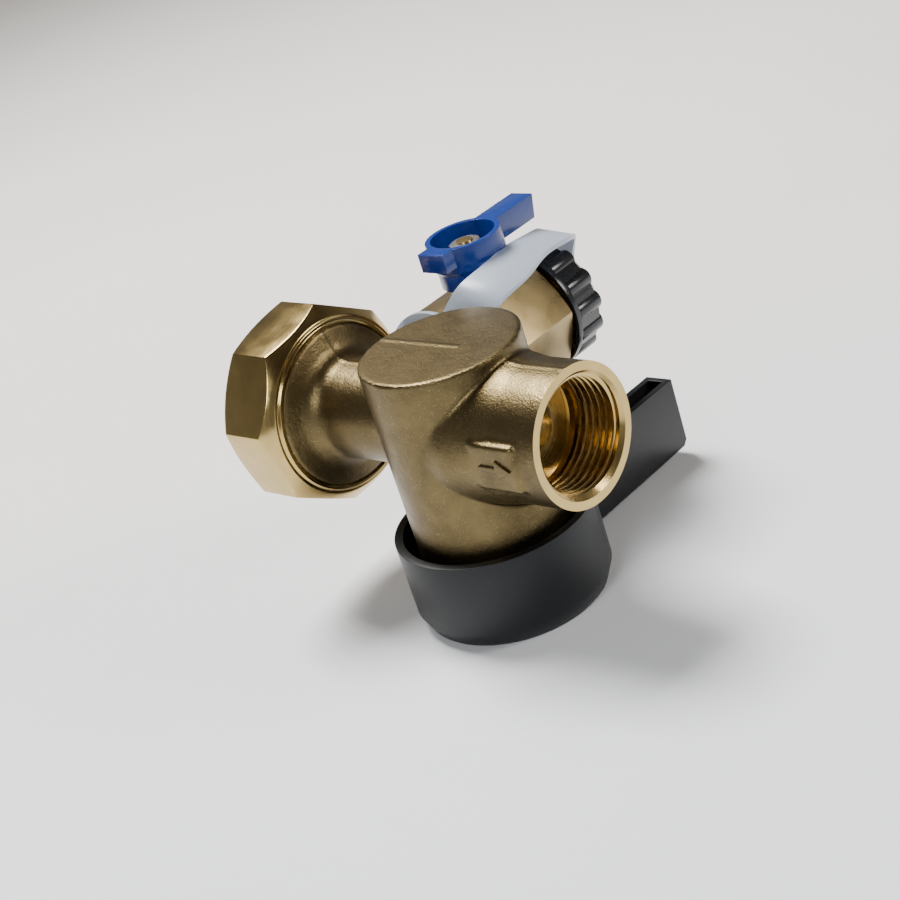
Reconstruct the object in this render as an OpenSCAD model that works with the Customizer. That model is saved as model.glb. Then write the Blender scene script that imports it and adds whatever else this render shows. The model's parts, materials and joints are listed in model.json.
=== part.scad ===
// Backflow preventer: ball valve with a union nut, a check valve and a small capped drain valve.
// The origin is the centre of the outlet mouth, +X is the way the water leaves, +Z is up.

/* [Main valve] */
// Diameter of the main ball
ball_d = 23.6; // [20:0.2:30]
// Diameter of the waterway through the ball and both throats
ball_bore_d = 15; // [10:0.5:16]
// Radial room between the main ball and its chamber
chamber_room = 1.4; // [0.8:0.1:3]
// Wall of the upright body barrel
body_wall = 4.8; // [3:0.1:8]
// Length of the bonnet that closes the barrel from below
bonnet_l = 14.9; // [12:0.1:20]
// Diameter of the main stem
stem_d = 10; // [8:0.5:12]

/* [Outlet] */
// Major diameter of the outlet thread
outlet_thread_d = 26.44; // [20.95:0.01:33.25]
// Pitch of the outlet thread
outlet_pitch = 1.814; // [1.337:0.001:2.309]
// Length of the outlet thread
outlet_thread_l = 14; // [10:0.5:18]
// Length of the throat between the seat and the thread
outlet_throat = 5.8; // [4:0.1:10]
// Wall of the outlet boss outside the thread
outlet_wall = 2.08; // [1.5:0.01:4]

/* [Inlet and union nut] */
// Major diameter of the union nut thread
union_thread_d = 41.91; // [37.9:0.01:50.3]
// Pitch of the union nut thread
union_pitch = 2.309; // [1.814:0.001:2.309]
// Depth of the union nut behind its lip
union_depth = 13.55; // [11:0.05:18]
// Thickness of the union nut lip
union_lip = 3.1; // [2:0.1:5]
// Wall of the union nut outside the thread, at the middle of a flat
union_wall = 1.05; // [0.8:0.05:4]
// Flats on the union nut
union_flats = 8; // [6, 8]
// Wire diameter of the snap ring
ring_wire = 2; // [1.2:0.1:2.4]
// Thickness of the flat inlet gasket
gasket_t = 2; // [1.5:0.5:3]

/* [Check valve] */
// Outside diameter of the check cartridge
check_d = 18; // [16:0.5:21]
// Length of the check cartridge behind its flange
check_l = 18.9; // [17:0.1:26]
// Travel of the poppet
check_travel = 5; // [3:0.5:6]
// Wall of the inlet neck round the cartridge
neck_wall = 2.4; // [1.8:0.1:5]

/* [Main handle] */
// Height of the handle cup
cup_h = 21.15; // [18:0.05:28]
// Wall of the handle cup
cup_wall = 2; // [1.4:0.1:3]
// Gap between the body barrel and the handle cup
cup_gap = 2.6; // [1.5:0.1:5]
// Reach of the lever from the stem axis
lever_reach = 63.3; // [50:0.1:90]
// Width of the lever
lever_w = 7.4; // [6:0.1:10]
// Height of the lever
lever_h = 16; // [12:0.1:18]
// Wall of the lever channel
lever_wall = 1.6; // [1.2:0.1:2]

/* [Drain valve] */
// Diameter of the drain ball
drain_ball_d = 15; // [12:0.2:18]
// Diameter of the drain waterway
drain_bore_d = 7; // [5:0.5:8]
// Diameter of the thread that screws the drain valve into the body
spigot_d = 16.66; // [13.16:0.01:20]
// Length of that thread
spigot_l = 5; // [4:0.5:8]
// Major diameter of the drain hose thread
hose_thread_d = 26.44; // [24:0.01:33.25]
// Pitch of the drain hose thread
hose_pitch = 1.814; // [1.337:0.001:2.309]
// Length of the drain hose thread
hose_thread_l = 7.7; // [6:0.1:12]
// Hexagon of the drain valve body past the hose thread radius
hex_step = 0.28; // [0.2:0.02:2]
// Turn of the hexagon about its own axis
hex_turn = 22; // [0:1:59]
// Height of the drain handle over the hexagon
drain_handle_rise = 13.4; // [12:0.1:20]
// Radius of the drain handle hub
hub_r = 8.9; // [7:0.1:12]
// Reach of the drain lever from its stem
drain_lever_reach = 21.8; // [16:0.1:40]
// Width of the drain lever
drain_lever_w = 6.5; // [5:0.1:9]

/* [Cap and strap] */
// Wall of the drain cap
cap_wall = 1.6; // [1.2:0.1:3]
// Thickness of the cap's closed end
cap_floor = 2; // [1.5:0.1:3]
// Thickness of the cap gasket
cap_gasket_t = 1.5; // [1:0.1:2.5]
// How far the cap unscrews
cap_travel = 8; // [6:0.5:12]
// Width of the strap
strap_w = 11; // [8:0.5:13]
// Thickness of the strap
strap_t = 1.1; // [0.8:0.1:1.6]
// Direction of the strap about the drain axis, up from the outlet side
strap_angle = 54; // [45:1:70]
// Height of the strap's arch over the drain axis
strap_rise = 30; // [29:0.5:40]

/* [Hidden] */
$fn = 96;

run_gap = 0.05;        // radial clearance of a running fit
seat_gap = 0.15;       // room between a ball and its seats
free_gap = 0.3;        // room between pieces that pass each other
cut = 1;               // how far a cutting tool runs past a face
lap = 0.1;             // overlap between solids that become one
press_gap = 0.02;      // room between pieces pressed together

function minor_r(d, pitch) = d / 2 - 0.6403 * pitch;

// main valve
ball_r = ball_d / 2;
bore_r = ball_bore_d / 2;
chamber_r = ball_r + chamber_room;
body_r = chamber_r + body_wall;
chamber_top = ball_r + 0.2;
body_top = chamber_top + body_wall;
chamber_floor = -(ball_r + 3.7);
body_bottom = chamber_floor - bonnet_l;
seat_r = ball_r - 1.3;
seat_back = ball_r + 2.2;
seat_front = ball_r * 0.6;
stem_r = stem_d / 2;
bonnet_r = chamber_r + 0.8;
o_wire = 2.4;          // bonnet o-ring section
flange_t = 2;          // stem flange
washer_t = 0.8;        // thrust washer
flange_r = stem_r + 2.5;
stem_wire = 1.44;      // stem o-ring section
stem_ring_sink = 0.7;  // how far its centre lies inside the stem
bonnet_ring_drop = 5;  // bonnet o-ring groove below the chamber floor
pin_hole_r = 1.25;     // spanner holes in the bonnet
pin_hole_l = 3;
key_w = 4.6;           // socket in the handle screw
key_l = 2.4;
screw_grip = 8.5;      // screw length past the handle's web
square_l = 7;          // square end of the stem
web_t = 1.4;           // handle web that the screw clamps
recess_l = 5;          // recess for the screw head
hub_gap = 0.8;
square_w = stem_d * 0.7;
tang_w = 5;
tang_reach = 3.2;
screw_r = 2.5;
head_r = 4.6;
head_h = 3.2;

// outlet
outlet_bore_r = minor_r(outlet_thread_d, outlet_pitch);
boss_r = outlet_thread_d / 2 + outlet_wall;
mouth_chamfer = 0.6;
pad_w = 11.4;          // raised pad with the flow arrow
pad_d = 10.6;
pad_t = 2.6;
arrow_t = 0.5;
top_round = 1;
outlet_reach = seat_back + outlet_throat + outlet_thread_l;

// drain position, needed by the inlet
port_r = drain_bore_d / 2;
port_margin = 2.5;
drain_x = -(seat_back + port_margin + port_r);
throat_end = -(seat_back + 2 * port_r + 3);

// inlet and check valve
check_r = check_d / 2;
pocket_r = check_r + 0.1;
neck_r = pocket_r + neck_wall;
flange_l = 1.5;
check_flange_r = check_r + 2;
ring_setback = 3.2;    // snap ring behind the collar's face
lip_room = 0.25;       // between the snap ring and the nut's lip
lip_reach = ring_setback + ring_wire / 2 + lip_room + union_lip;
hex_reach = (hose_thread_d / 2 + hex_step) / cos(30);
nut_room = 0.5;        // between the nut and the drain hexagon
collar_face = min(throat_end - check_l - flange_l, drain_x - hex_reach - nut_room - lip_reach);
union_bore_r = minor_r(union_thread_d, union_pitch);
ring_r = union_bore_r - 0.275 - ring_wire / 2;
collar_r = ring_r;
ring_x = collar_face + ring_setback;
lip_back = ring_x + ring_wire / 2 + lip_room;
lip_front = lip_back + union_lip;
nut_mouth = lip_back - union_depth;
nut_af = union_thread_d + 2 * union_wall;
relief_r = union_thread_d / 2 + 0.15;   // runout behind the union nut thread
relief_start = collar_face - gasket_t - 0.4;
nut_mouth_chamfer = 1.4;
union_turn = 54;       // turn of the octagon
nut_face_step = 0.7;   // raised ring round the nut's front face
nut_slope_l = 4;       // length over which the corners are turned down
nut_face_r = collar_r + 2.1;
ring_opening = 2.4;    // gap in the snap ring
flare_r = 5;           // fillet between neck and collar
poppet_r = check_r - 2.6;
seat_lip_r = poppet_r - 0.9;
check_bore_r = check_r - 1.6;
poppet_t = 2;
poppet_chamfer = 0.6;
guide_t = 3;
check_end_gap = 0.2;   // between the cartridge's end and the throat
check_seat_t = 0.8;    // seat lip inside the flange
check_ring_x = 5;      // o-ring groove behind the flange
rib_w = 1.4;           // ribs of the guide
guide_rim = 1.2;
seal_t = 0.9;
nose_l = 2.2;          // poppet's nose through the seat
check_ring_wire = 1.1;
pin_r = 1.3;
spring_wire = 0.7;
spring_r = 3.6;
spring_turns = 6;

// main handle
cup_r = body_r + cup_gap + cup_wall;
handle_base = body_bottom - hub_gap - square_l - web_t - recess_l;
cup_rim = handle_base + cup_h;
cup_floor_z = handle_base + 4;
cup_base_r = cup_r - 1.6;
cup_bevel = 4.3;
handle_hub_r = stem_r + 3.5;
lever_top = cup_rim - 0.95;
foot_bevel = 1.7;      // bevelled foot under the lever
foot_inset = 1.2;
channel_floor = 2.4;   // floor of the lever channel

// drain valve
drain_ball_r = drain_ball_d / 2;
spigot_r = spigot_d / 2;
boss_wall = 2.07;
drain_boss_r = spigot_r + boss_wall;
socket_y = max(pocket_r, seat_r) + 1;
drain_face = socket_y + spigot_l;
hex_y = drain_face + strap_t + 0.1;
drain_chamber_r = drain_ball_r + 0.6;
inner_seat_y = hex_y + 6.7;
drain_y = inner_seat_y + drain_ball_r + 2.5;
outer_seat_y = drain_y + drain_ball_r + 2.5;
retainer_l = 5;
hose_r = hose_thread_d / 2;
hex_r = hose_r + hex_step;
hex_end = drain_y + 12.5;
hose_end = hex_end + hose_thread_l;
drain_stem_r = 2.6;
drain_flange_r = 4.2;
drain_seat_r = drain_chamber_r - 0.1;
tower_r = 6.3;
tower_top = hex_r + 4;
hex_corner_r = hex_r / cos(30);
skirt_z = hex_corner_r + 0.4;
drain_handle_z = hex_r + drain_handle_rise;
hub_floor = drain_handle_z - 4.9;
hub_floor_t = 2.4;
hub_wall = 1.3;
skirt_step = 0.9;      // skirt inside the hub's edge
skirt_wall = 1;
stem_square = 3.8;
m4_hole_r = 1.95;
drain_slot_z = drain_ball_r - 2.2;
drain_tang_w = 3;
drain_ring_t = 1.3;    // drain stem seal
hose_chamfer = 0.6;
retainer_slot = 2;
drain_lever_h = 5.5;
thumb_reach = 11.4;
thumb_w = 7.8;
m4_nut_w = 7;
m4_nut_h = 3;

// cap and strap
cap_bore_r = hose_r + free_gap;
cap_r = cap_bore_r + cap_wall;
cap_mouth = hex_end + 0.4;
cap_gasket_y = hose_end + 0.1;
cap_floor_y = cap_gasket_y + cap_gasket_t;
cap_end = cap_floor_y + cap_floor;
cap_lobes = 12;
lobe_r = 1.5;
lobe_stand = 0.5;      // how far the lobes stand out
lobe_stop = 2.4;       // where they end below the cap's end
cap_round = 1.6;
rivet_r = 2;
rivet_head_r = 4;
rivet_head_t = 1.2;
strap_end_y = cap_end + free_gap;
strap_end_r = 6.5;
eyelet_r = spigot_r + 7.5;

// ---- helpers ----

module along_x() { rotate([0, 90, 0]) children(); }
module along_y() { rotate([-90, 0, 0]) children(); }
module to_frame() { translate([-outlet_reach, 0, 0]) children(); }
module at_drain() { to_frame() translate([drain_x, 0, 0]) children(); }

module tube(r_out, r_in, l) {
    difference() {
        cylinder(r = r_out, h = l);
        translate([0, 0, -cut]) cylinder(r = r_in, h = l + 2 * cut);
    }
}

module o_ring(centre_r, wire) {
    rotate_extrude() translate([centre_r, 0]) circle(d = wire, $fn = 32);
}

// a prism of n flats whose ends are turned down to circles of radius end_r
module turned_prism(n, inner_r, l, end_r) {
    corner_r = inner_r / cos(180 / n);
    slope = (corner_r - end_r) * 0.58;
    intersection() {
        rotate([0, 0, 180 / n]) cylinder(r = corner_r, h = l, $fn = n);
        rotate_extrude() polygon([[0, 0], [end_r, 0], [corner_r + 0.01, slope],
                                  [corner_r + 0.01, l - slope], [end_r, l], [0, l]]);
    }
}

// ring seat with a spherical face for a ball of radius r, at distance back from the ball's centre
module seat(ring_r, hole_r, front, back, r) {
    difference() {
        translate([0, 0, front]) tube(ring_r, hole_r, back - front);
        sphere(r = r + seat_gap);
    }
}

// ---- body ----

// raised pad with a flow arrow, lying in XY and rising along Z
module arrow_pad() {
    linear_extrude(height = pad_t) square([pad_w, pad_d], center = true);
    linear_extrude(height = pad_t + arrow_t) {
        translate([-4, -0.6]) square([5.2, 1.2]);
        polygon([[1, -2.2], [4, 0], [1, 2.2]]);
    }
}

module valve_body() {
    pad_x = outlet_reach - 11;   // middle of the arrow pad
    color("darkkhaki") to_frame() difference() {
        union() {
            translate([0, 0, body_bottom]) rotate_extrude()
                polygon([[0, 0], [body_r, 0], [body_r, body_top - body_bottom - top_round],
                         [body_r - 0.3 * top_round, body_top - body_bottom - 0.3 * top_round],
                         [body_r - top_round, body_top - body_bottom], [0, body_top - body_bottom]]);
            along_x() cylinder(r = boss_r, h = outlet_reach);
            inlet_tail();
            translate([drain_x, 0, 0]) along_y() cylinder(r = drain_boss_r, h = drain_face);
            translate([pad_x, -boss_r + 2, 0]) rotate([90, 0, 0]) arrow_pad();
        }
        // ball chamber and bonnet bore
        translate([0, 0, chamber_floor - cut]) cylinder(r = chamber_r, h = chamber_top - chamber_floor + cut);
        translate([0, 0, body_bottom - cut]) cylinder(r = bonnet_r, h = bonnet_l + cut);
        // seat pockets and throats
        translate([-seat_back, 0, 0]) along_x() cylinder(r = seat_r + run_gap, h = 2 * seat_back);
        translate([throat_end - cut, 0, 0]) along_x()
            cylinder(r = bore_r, h = outlet_reach - outlet_thread_l - throat_end + 2 * cut);
        // outlet thread bore with its mouth chamfer
        translate([outlet_reach - outlet_thread_l, 0, 0]) along_x()
            cylinder(r = outlet_bore_r, h = outlet_thread_l + cut);
        translate([outlet_reach - mouth_chamfer, 0, 0]) along_x()
            cylinder(r1 = outlet_bore_r, r2 = outlet_bore_r + 4 * mouth_chamfer, h = 2 * mouth_chamfer);
        // check cartridge pocket
        translate([collar_face - cut, 0, 0]) along_x() cylinder(r = pocket_r, h = throat_end - collar_face + cut);
        translate([collar_face - cut, 0, 0]) along_x() cylinder(r = check_flange_r + 0.1, h = flange_l + cut);
        // snap ring groove
        translate([ring_x, 0, 0]) along_x() o_ring(ring_r, ring_wire + 0.04);
        // drain port and its threaded socket
        translate([drain_x, 0, 0]) along_y() cylinder(r = port_r, h = drain_face + cut);
        translate([drain_x, socket_y, 0]) along_y() cylinder(r = spigot_r + run_gap, h = spigot_l + cut);
        // spot face round the port, for the strap's eyelet and the hexagon
        translate([drain_x, drain_face, 0]) along_y() cylinder(r = eyelet_r + 0.4, h = body_r);
    }
}

// neck, flare and collar turned as one profile
module inlet_tail() {
    face_x = collar_face + 8.4;
    rim_x = lip_front - 0.1;
    arc = [for (a = [0:15:75]) [neck_r + flare_r * (1 - cos(a)), face_x + flare_r * (1 - sin(a))]];
    along_x() rotate_extrude()
        polygon(concat([[0, 0], [neck_r, 0]], arc, [[collar_r - 0.6, rim_x], [collar_r, rim_x - 0.6],
                        [collar_r, collar_face], [0, collar_face]]));
}

// ---- main valve ----

module outlet_seat() {
    color("ivory") to_frame() along_x() seat(seat_r, bore_r, seat_front, seat_back, ball_r);
}

module inlet_seat() {
    color("ivory") to_frame() rotate([0, 0, 180]) along_x() seat(seat_r, bore_r, seat_front, seat_back, ball_r);
}

module main_ball() {
    color("gainsboro") to_frame() difference() {
        sphere(r = ball_r);
        translate([0, -ball_r - cut, 0]) along_y() cylinder(r = bore_r, h = 2 * (ball_r + cut));
        translate([0, 0, -ball_r]) cube([tang_w + 2 * run_gap, 2 * ball_r, 2 * (tang_reach + lap)], center = true);
    }
}

module main_stem() {
    flange_z = chamber_floor + washer_t + 2 * run_gap;
    color("goldenrod") to_frame() difference() {
        union() {
            translate([-tang_w / 2, -stem_r, flange_z + flange_t - 2 * lap])
                cube([tang_w, stem_d, -flange_z - flange_t - ball_r + tang_reach + 2 * lap]);
            translate([0, 0, flange_z]) cylinder(r = flange_r, h = flange_t);
            translate([0, 0, body_bottom - hub_gap]) cylinder(r = stem_r, h = flange_z - body_bottom + hub_gap);
            translate([-square_w / 2, -square_w / 2, body_bottom - hub_gap - square_l + 0.1])
                cube([square_w, square_w, square_l + cut]);
        }
        for (z = stem_ring_z()) translate([0, 0, z]) o_ring(stem_r - stem_ring_sink, stem_wire + 3 * press_gap);
        translate([0, 0, body_bottom - hub_gap - square_l]) cylinder(r = screw_r, h = 10);
    }
}

function stem_ring_z() = [chamber_floor - bonnet_l * 0.3, chamber_floor - bonnet_l * 0.6];

module stem_o_rings() {
    color("dimgray") to_frame() for (z = stem_ring_z()) translate([0, 0, z]) o_ring(stem_r - stem_ring_sink, stem_wire);
}

module thrust_washer() {
    color("ivory") to_frame() translate([0, 0, chamber_floor]) tube(flange_r, stem_r + run_gap, washer_t);
}

module bonnet() {
    groove_r = bonnet_r - o_wire - 2 * run_gap;
    color("goldenrod") to_frame() difference() {
        translate([0, 0, body_bottom]) tube(bonnet_r - press_gap, stem_r + run_gap, bonnet_l);
        translate([0, 0, chamber_floor - bonnet_ring_drop]) tube(bonnet_r + cut, groove_r, o_wire + 4 * run_gap);
        for (a = [0:90:270]) rotate([0, 0, a]) translate([stem_r + 5, 0, body_bottom - cut])
            cylinder(r = pin_hole_r, h = pin_hole_l + cut);
    }
}

module bonnet_o_ring() {
    color("dimgray") to_frame() translate([0, 0, chamber_floor - bonnet_ring_drop + o_wire / 2 + 2 * run_gap])
        o_ring(bonnet_r - o_wire / 2 - run_gap, o_wire);
}

// ---- main handle ----

module main_handle() {
    channel_w = lever_w - 2 * lever_wall;
    lever_foot = lever_top - lever_h;
    recess_r = head_r + 1.4;
    color([0.17, 0.17, 0.2]) to_frame() difference() {
        union() {
            translate([0, 0, handle_base]) rotate_extrude()
                polygon([[0, 0], [cup_base_r - 0.6, 0], [cup_base_r, 0.6], [cup_r, cup_bevel],
                         [cup_r, cup_h], [0, cup_h]]);
            difference() {
                translate([-lever_w / 2, 0, lever_foot]) cube([lever_w, lever_reach, lever_h]);
                translate([-channel_w / 2, 0, lever_foot + channel_floor])
                    cube([channel_w, lever_reach - lever_wall, lever_h]);
            }
            // bevelled foot of the lever
            rotate([90, 0, 0]) mirror([0, 0, 1]) linear_extrude(height = lever_reach - lever_wall / 2)
                polygon([[-lever_w / 2, lever_foot + 0.01], [-lever_w / 2 + foot_inset, lever_foot - foot_bevel],
                         [lever_w / 2 - foot_inset, lever_foot - foot_bevel], [lever_w / 2, lever_foot + 0.01]]);
        }
        difference() {
            translate([0, 0, cup_floor_z]) cylinder(r = cup_r - cup_wall, h = cup_h);
            translate([0, 0, cup_floor_z - cut])
                cylinder(r = handle_hub_r, h = body_bottom - hub_gap / 2 - cup_floor_z + cut);
        }
        translate([-square_w / 2 - run_gap, -square_w / 2 - run_gap, body_bottom - hub_gap - square_l])
            cube([square_w + 2 * run_gap, square_w + 2 * run_gap, square_l + 2 * cut]);
        translate([0, 0, body_bottom - hub_gap / 2 - 0.6]) cylinder(r = stem_r + 0.2, h = 2);
        translate([0, 0, handle_base - cut]) cylinder(r = recess_r, h = recess_l + cut);
        translate([0, 0, handle_base]) cylinder(r = screw_r + 0.2, h = recess_l + web_t + cut);
    }
}

module handle_screw() {
    color("silver") to_frame() difference() {
        union() {
            translate([0, 0, handle_base + recess_l - head_h]) cylinder(r = head_r, h = head_h);
            translate([0, 0, handle_base + recess_l - lap])
                cylinder(r = screw_r - press_gap, h = web_t + screw_grip);
        }
        translate([0, 0, handle_base + recess_l - head_h - cut]) cylinder(d = key_w, h = key_l + cut, $fn = 6);
    }
}

// ---- check valve ----

module check_housing() {
    color("aliceblue") to_frame() translate([collar_face, 0, 0]) along_x() difference() {
        union() {
            cylinder(r = check_flange_r, h = flange_l);
            cylinder(r = check_r, h = flange_l + check_l - check_end_gap);
        }
        translate([0, 0, -cut]) cylinder(r = seat_lip_r, h = flange_l + check_l + 2 * cut);
        translate([0, 0, flange_l + check_seat_t]) cylinder(r = check_bore_r, h = check_l);
        translate([0, 0, flange_l + check_ring_x])
            tube(check_r + cut, pocket_r - check_ring_wire - run_gap, check_ring_wire + 0.4);
    }
}

module check_o_ring() {
    color("dimgray") to_frame() translate([collar_face + flange_l + check_ring_x + 0.2 + check_ring_wire / 2, 0, 0])
        along_x() o_ring(pocket_r - press_gap - check_ring_wire / 2, check_ring_wire);
}

module check_guide() {
    guide_x = collar_face + flange_l + check_l - check_end_gap - guide_t;
    color("white") to_frame() translate([guide_x, 0, 0]) along_x() difference() {
        union() {
            tube(check_bore_r - press_gap, check_bore_r - guide_rim, guide_t);
            cylinder(r = pin_r + 1.5, h = guide_t);
            for (a = [0:120:240]) rotate([0, 0, a]) translate([0, -rib_w / 2, 0])
                cube([check_bore_r - guide_rim / 2, rib_w, guide_t]);
        }
        translate([0, 0, -cut]) cylinder(r = pin_r + run_gap, h = guide_t + 2 * cut);
    }
}

poppet_x = collar_face + flange_l + check_seat_t + seal_t + lap;

module check_poppet() {
    pin_l = check_l + flange_l - 2.4;   // ends short of the throat when shut
    color("lightsteelblue") to_frame() translate([poppet_x, 0, 0]) along_x() union() {
        cylinder(r1 = poppet_r - poppet_chamfer, r2 = poppet_r - lap, h = poppet_chamfer);
        translate([0, 0, poppet_chamfer]) cylinder(r = poppet_r, h = poppet_t - poppet_chamfer);
        translate([0, 0, poppet_t - lap]) cylinder(r = pin_r, h = pin_l - poppet_t);
        translate([0, 0, -nose_l]) cylinder(r = seat_lip_r - 1.6, h = nose_l + lap);
    }
}

module poppet_seal() {
    color("black") to_frame() translate([poppet_x - seal_t - run_gap, 0, 0]) along_x()
        tube(poppet_r - 0.2, seat_lip_r - 1.5, seal_t);
}

module check_spring() {
    start = poppet_x + poppet_t + spring_wire / 2 + lap;
    end = collar_face + flange_l + check_l - check_end_gap - guide_t - spring_wire / 2 - lap;
    per_turn = 13;
    sides = 8;
    rings = spring_turns * per_turn;
    points = [for (i = [0:rings]) let (a = 360 * i / per_turn, x = start + (end - start) * i / rings)
              for (j = [0:sides - 1]) let (b = 360 * j / sides, r = spring_r + spring_wire / 2 * cos(b))
              [x + spring_wire / 2 * sin(b), r * cos(a), r * sin(a)]];
    walls = [for (i = [0:rings - 1], j = [0:sides - 1]) let (k = (j + 1) % sides)
             [i * sides + j, (i + 1) * sides + j, (i + 1) * sides + k, i * sides + k]];
    first = [for (j = [0:sides - 1]) j];
    last = [for (j = [sides - 1:-1:0]) rings * sides + j];
    color("silver") to_frame() polyhedron(points, concat(walls, [first, last]));
}

// ---- union nut ----

module union_nut() {
    corner_r = nut_af / 2 / cos(180 / union_flats);
    l = lip_front - nut_mouth;
    color("goldenrod") to_frame() translate([nut_mouth, 0, 0]) along_x() difference() {
        union() {
            intersection() {
                rotate([0, 0, union_turn]) cylinder(r = corner_r, h = l - nut_face_step, $fn = union_flats);
                rotate_extrude() polygon([[0, 0], [nut_af / 2 - 0.3, 0], [corner_r + 0.1, 1.6],
                                          [corner_r + 0.1, l - nut_slope_l], [nut_face_r, l - nut_face_step],
                                          [0, l - nut_face_step]]);
            }
            cylinder(r = nut_face_r - nut_face_step, h = l);
        }
        translate([0, 0, -cut]) cylinder(r = union_bore_r, h = union_depth + cut);
        translate([0, 0, relief_start - nut_mouth])
            cylinder(r = relief_r, h = union_depth - relief_start + nut_mouth);
        translate([0, 0, -cut]) cylinder(r = collar_r + free_gap + lap, h = l + 2 * cut);
        translate([0, 0, -0.01]) cylinder(r1 = union_thread_d / 2 + 0.2, r2 = union_bore_r, h = nut_mouth_chamfer);
    }
}

module snap_ring() {
    color("darkgoldenrod") to_frame() translate([ring_x, 0, 0]) along_x() difference() {
        o_ring(ring_r, ring_wire);
        translate([ring_r, 0, 0]) cube([3 * ring_wire, ring_opening, 3 * ring_wire], center = true);
    }
}

module inlet_gasket() {
    color("darkslategray") to_frame() translate([collar_face - gasket_t, 0, 0]) along_x()
        tube(union_bore_r - 0.575, check_flange_r - 1, gasket_t);
}

// ---- drain valve ----

module drain_body() {
    color("tan") at_drain() difference() {
        union() {
            translate([0, socket_y + 0.1, 0]) along_y() cylinder(r = spigot_r, h = hex_y - socket_y);
            translate([0, hex_y, 0]) along_y() rotate([0, 0, -hex_turn + 30])
                turned_prism(6, hex_r, hex_end - hex_y, hex_r - 0.5);
            translate([0, hex_end - cut, 0]) along_y() cylinder(r = hose_r, h = hose_thread_l + cut - hose_chamfer);
            translate([0, hose_end - hose_chamfer, 0]) along_y()
                cylinder(r1 = hose_r, r2 = hose_r - hose_chamfer, h = hose_chamfer);
            translate([0, drain_y, 0]) cylinder(r = tower_r, h = tower_top);
        }
        translate([0, socket_y, 0]) along_y() cylinder(r = port_r, h = hose_end);
        translate([0, inner_seat_y, 0]) along_y() cylinder(r = drain_chamber_r, h = hose_end);
        translate([0, drain_y, 0]) cylinder(r = drain_flange_r + 0.15, h = drain_chamber_r + 2);
        translate([0, drain_y, 0]) cylinder(r = drain_stem_r + run_gap, h = tower_top + cut);
        translate([0, drain_y, tower_top - drain_ring_t - 0.9])
            cylinder(r = drain_stem_r + drain_ring_t + lap, h = drain_ring_t + 0.9 + cut);
    }
}

module drain_inner_seat() {
    color("ivory") at_drain() translate([0, drain_y, 0]) rotate([90, 0, 0])
        seat(drain_seat_r, port_r, drain_ball_r * 0.7, drain_y - inner_seat_y, drain_ball_r);
}

module drain_outer_seat() {
    color("ivory") at_drain() translate([0, drain_y, 0]) along_y()
        seat(drain_seat_r, port_r, drain_ball_r * 0.7, outer_seat_y - drain_y, drain_ball_r);
}

module drain_seat_retainer() {
    color("goldenrod") at_drain() translate([0, outer_seat_y, 0]) along_y() difference() {
        tube(drain_chamber_r - press_gap, port_r + 0.5, retainer_l);
        translate([0, 0, retainer_l - 1.5]) cube([retainer_slot, 2 * (drain_chamber_r + cut), 3.2], center = true);
    }
}

module drain_ball() {
    color("gainsboro") at_drain() translate([0, drain_y, 0]) difference() {
        sphere(r = drain_ball_r);
        translate([0, -drain_ball_r - cut, 0]) along_y() cylinder(r = port_r, h = 2 * (drain_ball_r + cut));
        translate([-drain_tang_w / 2 - run_gap, -drain_ball_r, drain_slot_z])
            cube([drain_tang_w + 2 * run_gap, 2 * drain_ball_r, drain_ball_r - drain_slot_z + cut]);
    }
}

module drain_stem() {
    flange_z = drain_chamber_r + 0.2;
    flange_h = 1.5;
    thread_r = stem_square / 2;
    color("goldenrod") at_drain() translate([0, drain_y, 0]) {
        translate([-drain_tang_w / 2, -drain_stem_r, drain_slot_z + lap])
            cube([drain_tang_w, 2 * drain_stem_r, flange_z - drain_slot_z]);
        translate([0, 0, flange_z]) cylinder(r = drain_flange_r, h = flange_h);
        translate([0, 0, flange_z + flange_h - 0.5])
            cylinder(r = drain_stem_r, h = tower_top + 1.1 - flange_z - flange_h);
        translate([-stem_square / 2, -stem_square / 2, tower_top + free_gap])
            cube([stem_square, stem_square, hub_floor - tower_top - free_gap - 2 * lap]);
        translate([0, 0, flange_z]) cylinder(r = thread_r, h = hub_floor + m4_nut_h + 0.4 - flange_z);
    }
}

module drain_stem_o_ring() {
    color("dimgray") at_drain() translate([0, drain_y, tower_top - drain_ring_t - lap])
        tube(drain_stem_r + drain_ring_t, drain_stem_r + 0.03, drain_ring_t);
}

module drain_handle() {
    thumb_h = 4.4;
    color("royalblue") at_drain() translate([0, drain_y, 0]) difference() {
        union() {
            translate([0, 0, hub_floor - hub_floor_t])
                cylinder(r = hub_r, h = drain_handle_z - hub_floor + hub_floor_t);
            translate([0, 0, skirt_z]) cylinder(r = hub_r - skirt_step, h = hub_floor - skirt_z);
            translate([-drain_lever_w / 2, 0, drain_handle_z - drain_lever_h])
                cube([drain_lever_w, drain_lever_reach, drain_lever_h]);
            translate([-thumb_w / 2, -thumb_reach, drain_handle_z - thumb_h])
                cube([thumb_w, thumb_reach, thumb_h]);
        }
        translate([0, 0, hub_floor]) cylinder(r = hub_r - hub_wall, h = 10);
        translate([0, 0, skirt_z - cut])
            cylinder(r = hub_r - skirt_step - skirt_wall, h = hub_floor - hub_floor_t - skirt_z + cut);
        translate([-stem_square / 2 - run_gap, -stem_square / 2 - run_gap, hub_floor - hub_floor_t - cut])
            cube([stem_square + 2 * run_gap, stem_square + 2 * run_gap, hub_floor_t + 2 * cut]);
    }
}

module drain_handle_nut() {
    color("silver") at_drain() translate([0, drain_y, hub_floor]) difference() {
        turned_prism(6, m4_nut_w / 2, m4_nut_h, m4_nut_w / 2 - lap);
        translate([0, 0, -cut]) cylinder(r = m4_hole_r, h = m4_nut_h + 2 * cut);
    }
}

// ---- cap and strap ----

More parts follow.
